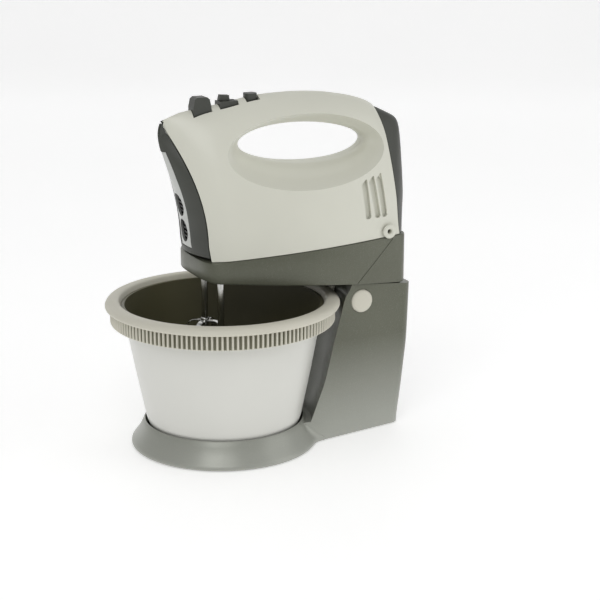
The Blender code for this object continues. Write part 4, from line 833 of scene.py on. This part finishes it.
# --- bowl ---------------------------------------------------------------------------------------------
def make_bowl(outside, inside):
    """Turned bowl, pale outside; its inner surface carries painted shade, a dark colour for the shade inside
    the bowl.
    """
    outer = rounded([(12.5, 12.2), (12.5, 10), (56, 10), (61, 13), (65, 24), (73.1, 64), (81, 107),
                     (83.5, 120.5)], 4.0, 5, False)
    inner = rounded([(81, 120.5), (78.5, 107), (70.6, 64), (62.6, 25), (58.8, 15.5), (55, 12.9), (15.5, 12.8),
                     (14.5, 15)], 4.0, 5, False)
    bowl = lathe("looks_bowl", [(0, 12.2)] + outer + inner + [(0, 15)], (0, 0, 0), 192, outside)
    bowl.data.materials.append(inside)
    # Painted shade: faces turned towards the axis, and the upward floor inside, take the dark second
    # material.
    for face in bowl.data.polygons:
        middle = face.center - Vector((AXIS_SHIFT * MM, 0, face.center.z))
        inward = face.normal.x * middle.x + face.normal.y * middle.y < 0
        up = face.normal.z > 0.5 and face.center.z > 12.5 * MM
        face.material_index = 1 if (inward and face.center.z > 12.6 * MM) or up else 0
    bowl.data.shade_smooth()
    bowl.data.set_sharp_from_angle(angle=math.radians(60))
    show(bowl, "bowl", "bowl_white", "bowl")


def make_rim(finish, groove_shade):
    """Thick rolled rim above a band of rounded drive ribs, with painted shade in the gaps between the ribs.
    """
    count = BOWL_RIBS * STEPS_PER_RIB
    roll = smooth_curve([(84.3, 121.3), (86, 124.4), (90, 125), (94.8, 123.8), (97, 120.8), (96.6, 119.2)], 5)
    profile = [(81.6, RIB_LOW), (84.0, 119.5)] + roll + [(95.6, 118.7), (93.4, 118.6)]
    verts = []
    turns = [2 * math.pi * i / count for i in range(count)]
    for radius, z in profile:
        verts += [(radius * math.cos(t), radius * math.sin(t), z) for t in turns]
    for z, swell in ((RIB_HIGH, 1.0), (RIB_LOW + 1.2, 1.0), (RIB_LOW + 0.4, 0.75), (RIB_LOW, 0.3)):
        for t in turns:
            wave = math.cos(BOWL_RIBS * t)
            radius = RIB_RADIUS + swell * max(-1.0, min(1.0, wave * 1.7)) - (1 - swell)
            verts.append((radius * math.cos(t), radius * math.sin(t), z))
    for radius, z in ((88.6, RIB_LOW), (88.6, 117), (90, 120), (88, 122), (83.8, RIB_LOW)):
        verts += [(radius * math.cos(t), radius * math.sin(t), z) for t in turns]
    rim = new_object("looks_bowl_rim", verts, grid_faces(len(verts) // count, count, True, True), finish)
    rim.data.materials.append(groove_shade)
    # Painted shade: faces in the gaps behind the ribs take the darker second material.
    for face in rim.data.polygons:
        middle = face.center / MM - Vector((AXIS_SHIFT, 0, 0))
        between = 88.8 < math.hypot(middle.x, middle.y) < RIB_RADIUS - 0.3
        face.material_index = 1 if between and RIB_LOW + 0.2 < middle.z < RIB_HIGH + 0.1 else 0
    rim.data.shade_smooth()
    rim.data.set_sharp_from_angle(angle=math.radians(48))
    show(rim, "bowl", "rim_cream", "bowl_rim")


# --- the frame's own nodes ----------------------------------------------------------------------------
def finish_nodes(frame, finishes):
    """Gives every CAD node its material, and rounded edges to the listed ones."""
    round_edges = {"eject_button": 1.0, "speed_slider": 0.5, "turbo_button": 0.6, "slider_plate": 0.4,
                   "cradle_cover": 0.3, "foot_pad_1": 0.3, "foot_pad_2": 0.3, "foot_pad_3": 0.3,
                   "foot_pad_4": 0.3, "turntable": 0.3, "hinge_pin": 0.3, "latch_bar": 0.3}
    slots = {part["node"]: part["material_slot"] for part in frame["record"]["subparts"]}
    for name, node in frame["nodes"].items():
        node.data.materials.clear()
        node.data.materials.append(finishes[slots[name]])
        if name in round_edges:
            soften(node, round_edges[name], 4, 30)


def add_light(name, location, target, size, power):
    data = bpy.data.lights.new(name, "AREA")
    data.shape, data.size, data.size_y, data.energy = "RECTANGLE", size[0], size[1], power
    light = bpy.data.objects.new(name, data)
    light.location = location
    light.rotation_euler = (Vector(target) - Vector(location)).to_track_quat("-Z", "Y").to_euler()
    bpy.context.scene.collection.objects.link(light)


def make_stage():
    """Pale floor that curves up behind the object, an even white world and three soft lights."""
    floor_finish = Finish("floor", (0.92, 0.92, 0.92), 0.6, Emission_Strength=FLOOR_GLOW,
                          Emission_Color=(1.0, 1.0, 1.0, 1.0))
    finish = floor_finish.done(floor_finish.tone(0.01, 3.0), 200.0, 0.02)
    depth = smooth_curve([(-2.5, 0.0), (1.2, 0.0), (2.2, 0.12), (2.8, 0.9), (2.9, 3.2)], 10)
    turn = math.radians(CAMERA_AZIMUTH)
    verts = []
    for forward, z in depth:
        for across in (-4.0, 4.0):
            x = forward * math.sin(-turn) + across * math.cos(turn)
            y = forward * math.cos(turn) + across * math.sin(turn)
            verts.append((x, y, z))
    mesh = bpy.data.meshes.new("floor")
    mesh.from_pydata(verts, [], grid_faces(len(depth), 2))
    mesh.shade_smooth()
    mesh.materials.append(finish)
    floor = bpy.data.objects.new("floor", mesh)
    bpy.context.scene.collection.objects.link(floor)
    world = bpy.data.worlds.new("studio")
    world.use_nodes = True
    world.node_tree.nodes["Background"].inputs["Color"].default_value = (1.0, 1.0, 1.0, 1.0)
    world.node_tree.nodes["Background"].inputs["Strength"].default_value = WORLD_STRENGTH
    bpy.context.scene.world = world
    for name, place, size, power in LIGHTS:
        add_light(name, place, STAGE_MIDDLE, size, power)


def make_camera():
    data = bpy.data.cameras.new("camera")
    data.lens, data.sensor_width = CAMERA_LENS, CAMERA_SENSOR
    camera = bpy.data.objects.new("camera", data)
    around, above = math.radians(CAMERA_AZIMUTH), math.radians(CAMERA_ELEVATION)
    back = Vector((math.sin(around) * math.cos(above), -math.cos(around) * math.cos(above), math.sin(above)))
    target = Vector(CAMERA_TARGET)
    camera.location = target + back * CAMERA_DISTANCE
    camera.rotation_euler = (target - camera.location).to_track_quat("-Z", "Y").to_euler()
    bpy.context.scene.collection.objects.link(camera)
    bpy.context.scene.camera = camera
    bpy.context.scene.view_settings.view_transform = "Standard"


def make_finishes():
    cream = plastic("cream casing", (0.66, 0.66, 0.575), 0.38, 0.02, coat=0.1)
    rim = plastic("cream rim", (0.62, 0.60, 0.51), 0.5)
    return {
        "casing_cream": cream,
        "charcoal": plastic("charcoal", (0.047, 0.050, 0.041), 0.42, 0.06),
        "silver": plastic("silver panel", (0.50, 0.51, 0.49), 0.32, 0.04, metallic=0.7, coat=0.2),
        # Stand grey: the pale foot colour is painted light and the dark upper colour is painted shade.
        "stand_grey": pearl_grey("stand grey", (0.37, 0.38, 0.34), (0.104, 0.109, 0.076), 0.0, 85.0, 0.38),
        "bowl_white": plastic("bowl outside", (0.70, 0.70, 0.655), 0.33, 0.015, coat=0.2),
        "rim_cream": rim,
        "black": plastic("black plastic", (0.018, 0.018, 0.018), 0.5, 0.08),
        "rubber": plastic("rubber", (0.03, 0.03, 0.03), 0.85, 0.1, (700.0, 0.1)),
        "steel": metal("steel", (0.62, 0.62, 0.60), 0.25, (1.0, 1.0, 12.0)),
        "beater_chrome": metal("beater chrome", (0.55, 0.55, 0.53), 0.16),
        "iron": metal("iron laminations", (0.30, 0.30, 0.31), 0.45, (18.0, 1.0, 1.0)),
        "copper": metal("copper windings", (0.72, 0.35, 0.20), 0.35, (1.0, 14.0, 14.0)),
        "bronze": metal("sintered bronze", (0.50, 0.38, 0.20), 0.45),
        "nylon": plastic("nylon", (0.72, 0.70, 0.60), 0.45, 0.03),
        "board": plastic("board", (0.03, 0.10, 0.05), 0.4, 0.1),
    }


def main():
    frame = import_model()
    finishes = make_finishes()
    finish_nodes(frame, finishes)
    for sign, name in ((-1, "casing_left"), (1, "casing_right")):
        make_casing(sign, name, finishes["casing_cream"], "casing_cream")
    make_nose(finishes["charcoal"], finishes["silver"], finishes["black"])
    make_rear_cover(finishes["charcoal"])
    make_bush(finishes["casing_cream"])
    make_beater("left_beater", -1, finishes["beater_chrome"])
    make_beater("right_beater", 1, finishes["beater_chrome"])
    make_cradle(finishes["stand_grey"])
    make_stand(finishes["stand_grey"])
    make_tilt_button(finishes["rim_cream"])
    # The bowl's dark inner colour is painted shade.
    make_bowl(finishes["bowl_white"], plastic("bowl inside", (0.100, 0.094, 0.050), 0.38, 0.05))
    # The rim groove colour is painted shade between the drive ribs.
    make_rim(finishes["rim_cream"], plastic("rim groove", (0.16, 0.155, 0.105), 0.6))
    make_stage()
    make_camera()


main()
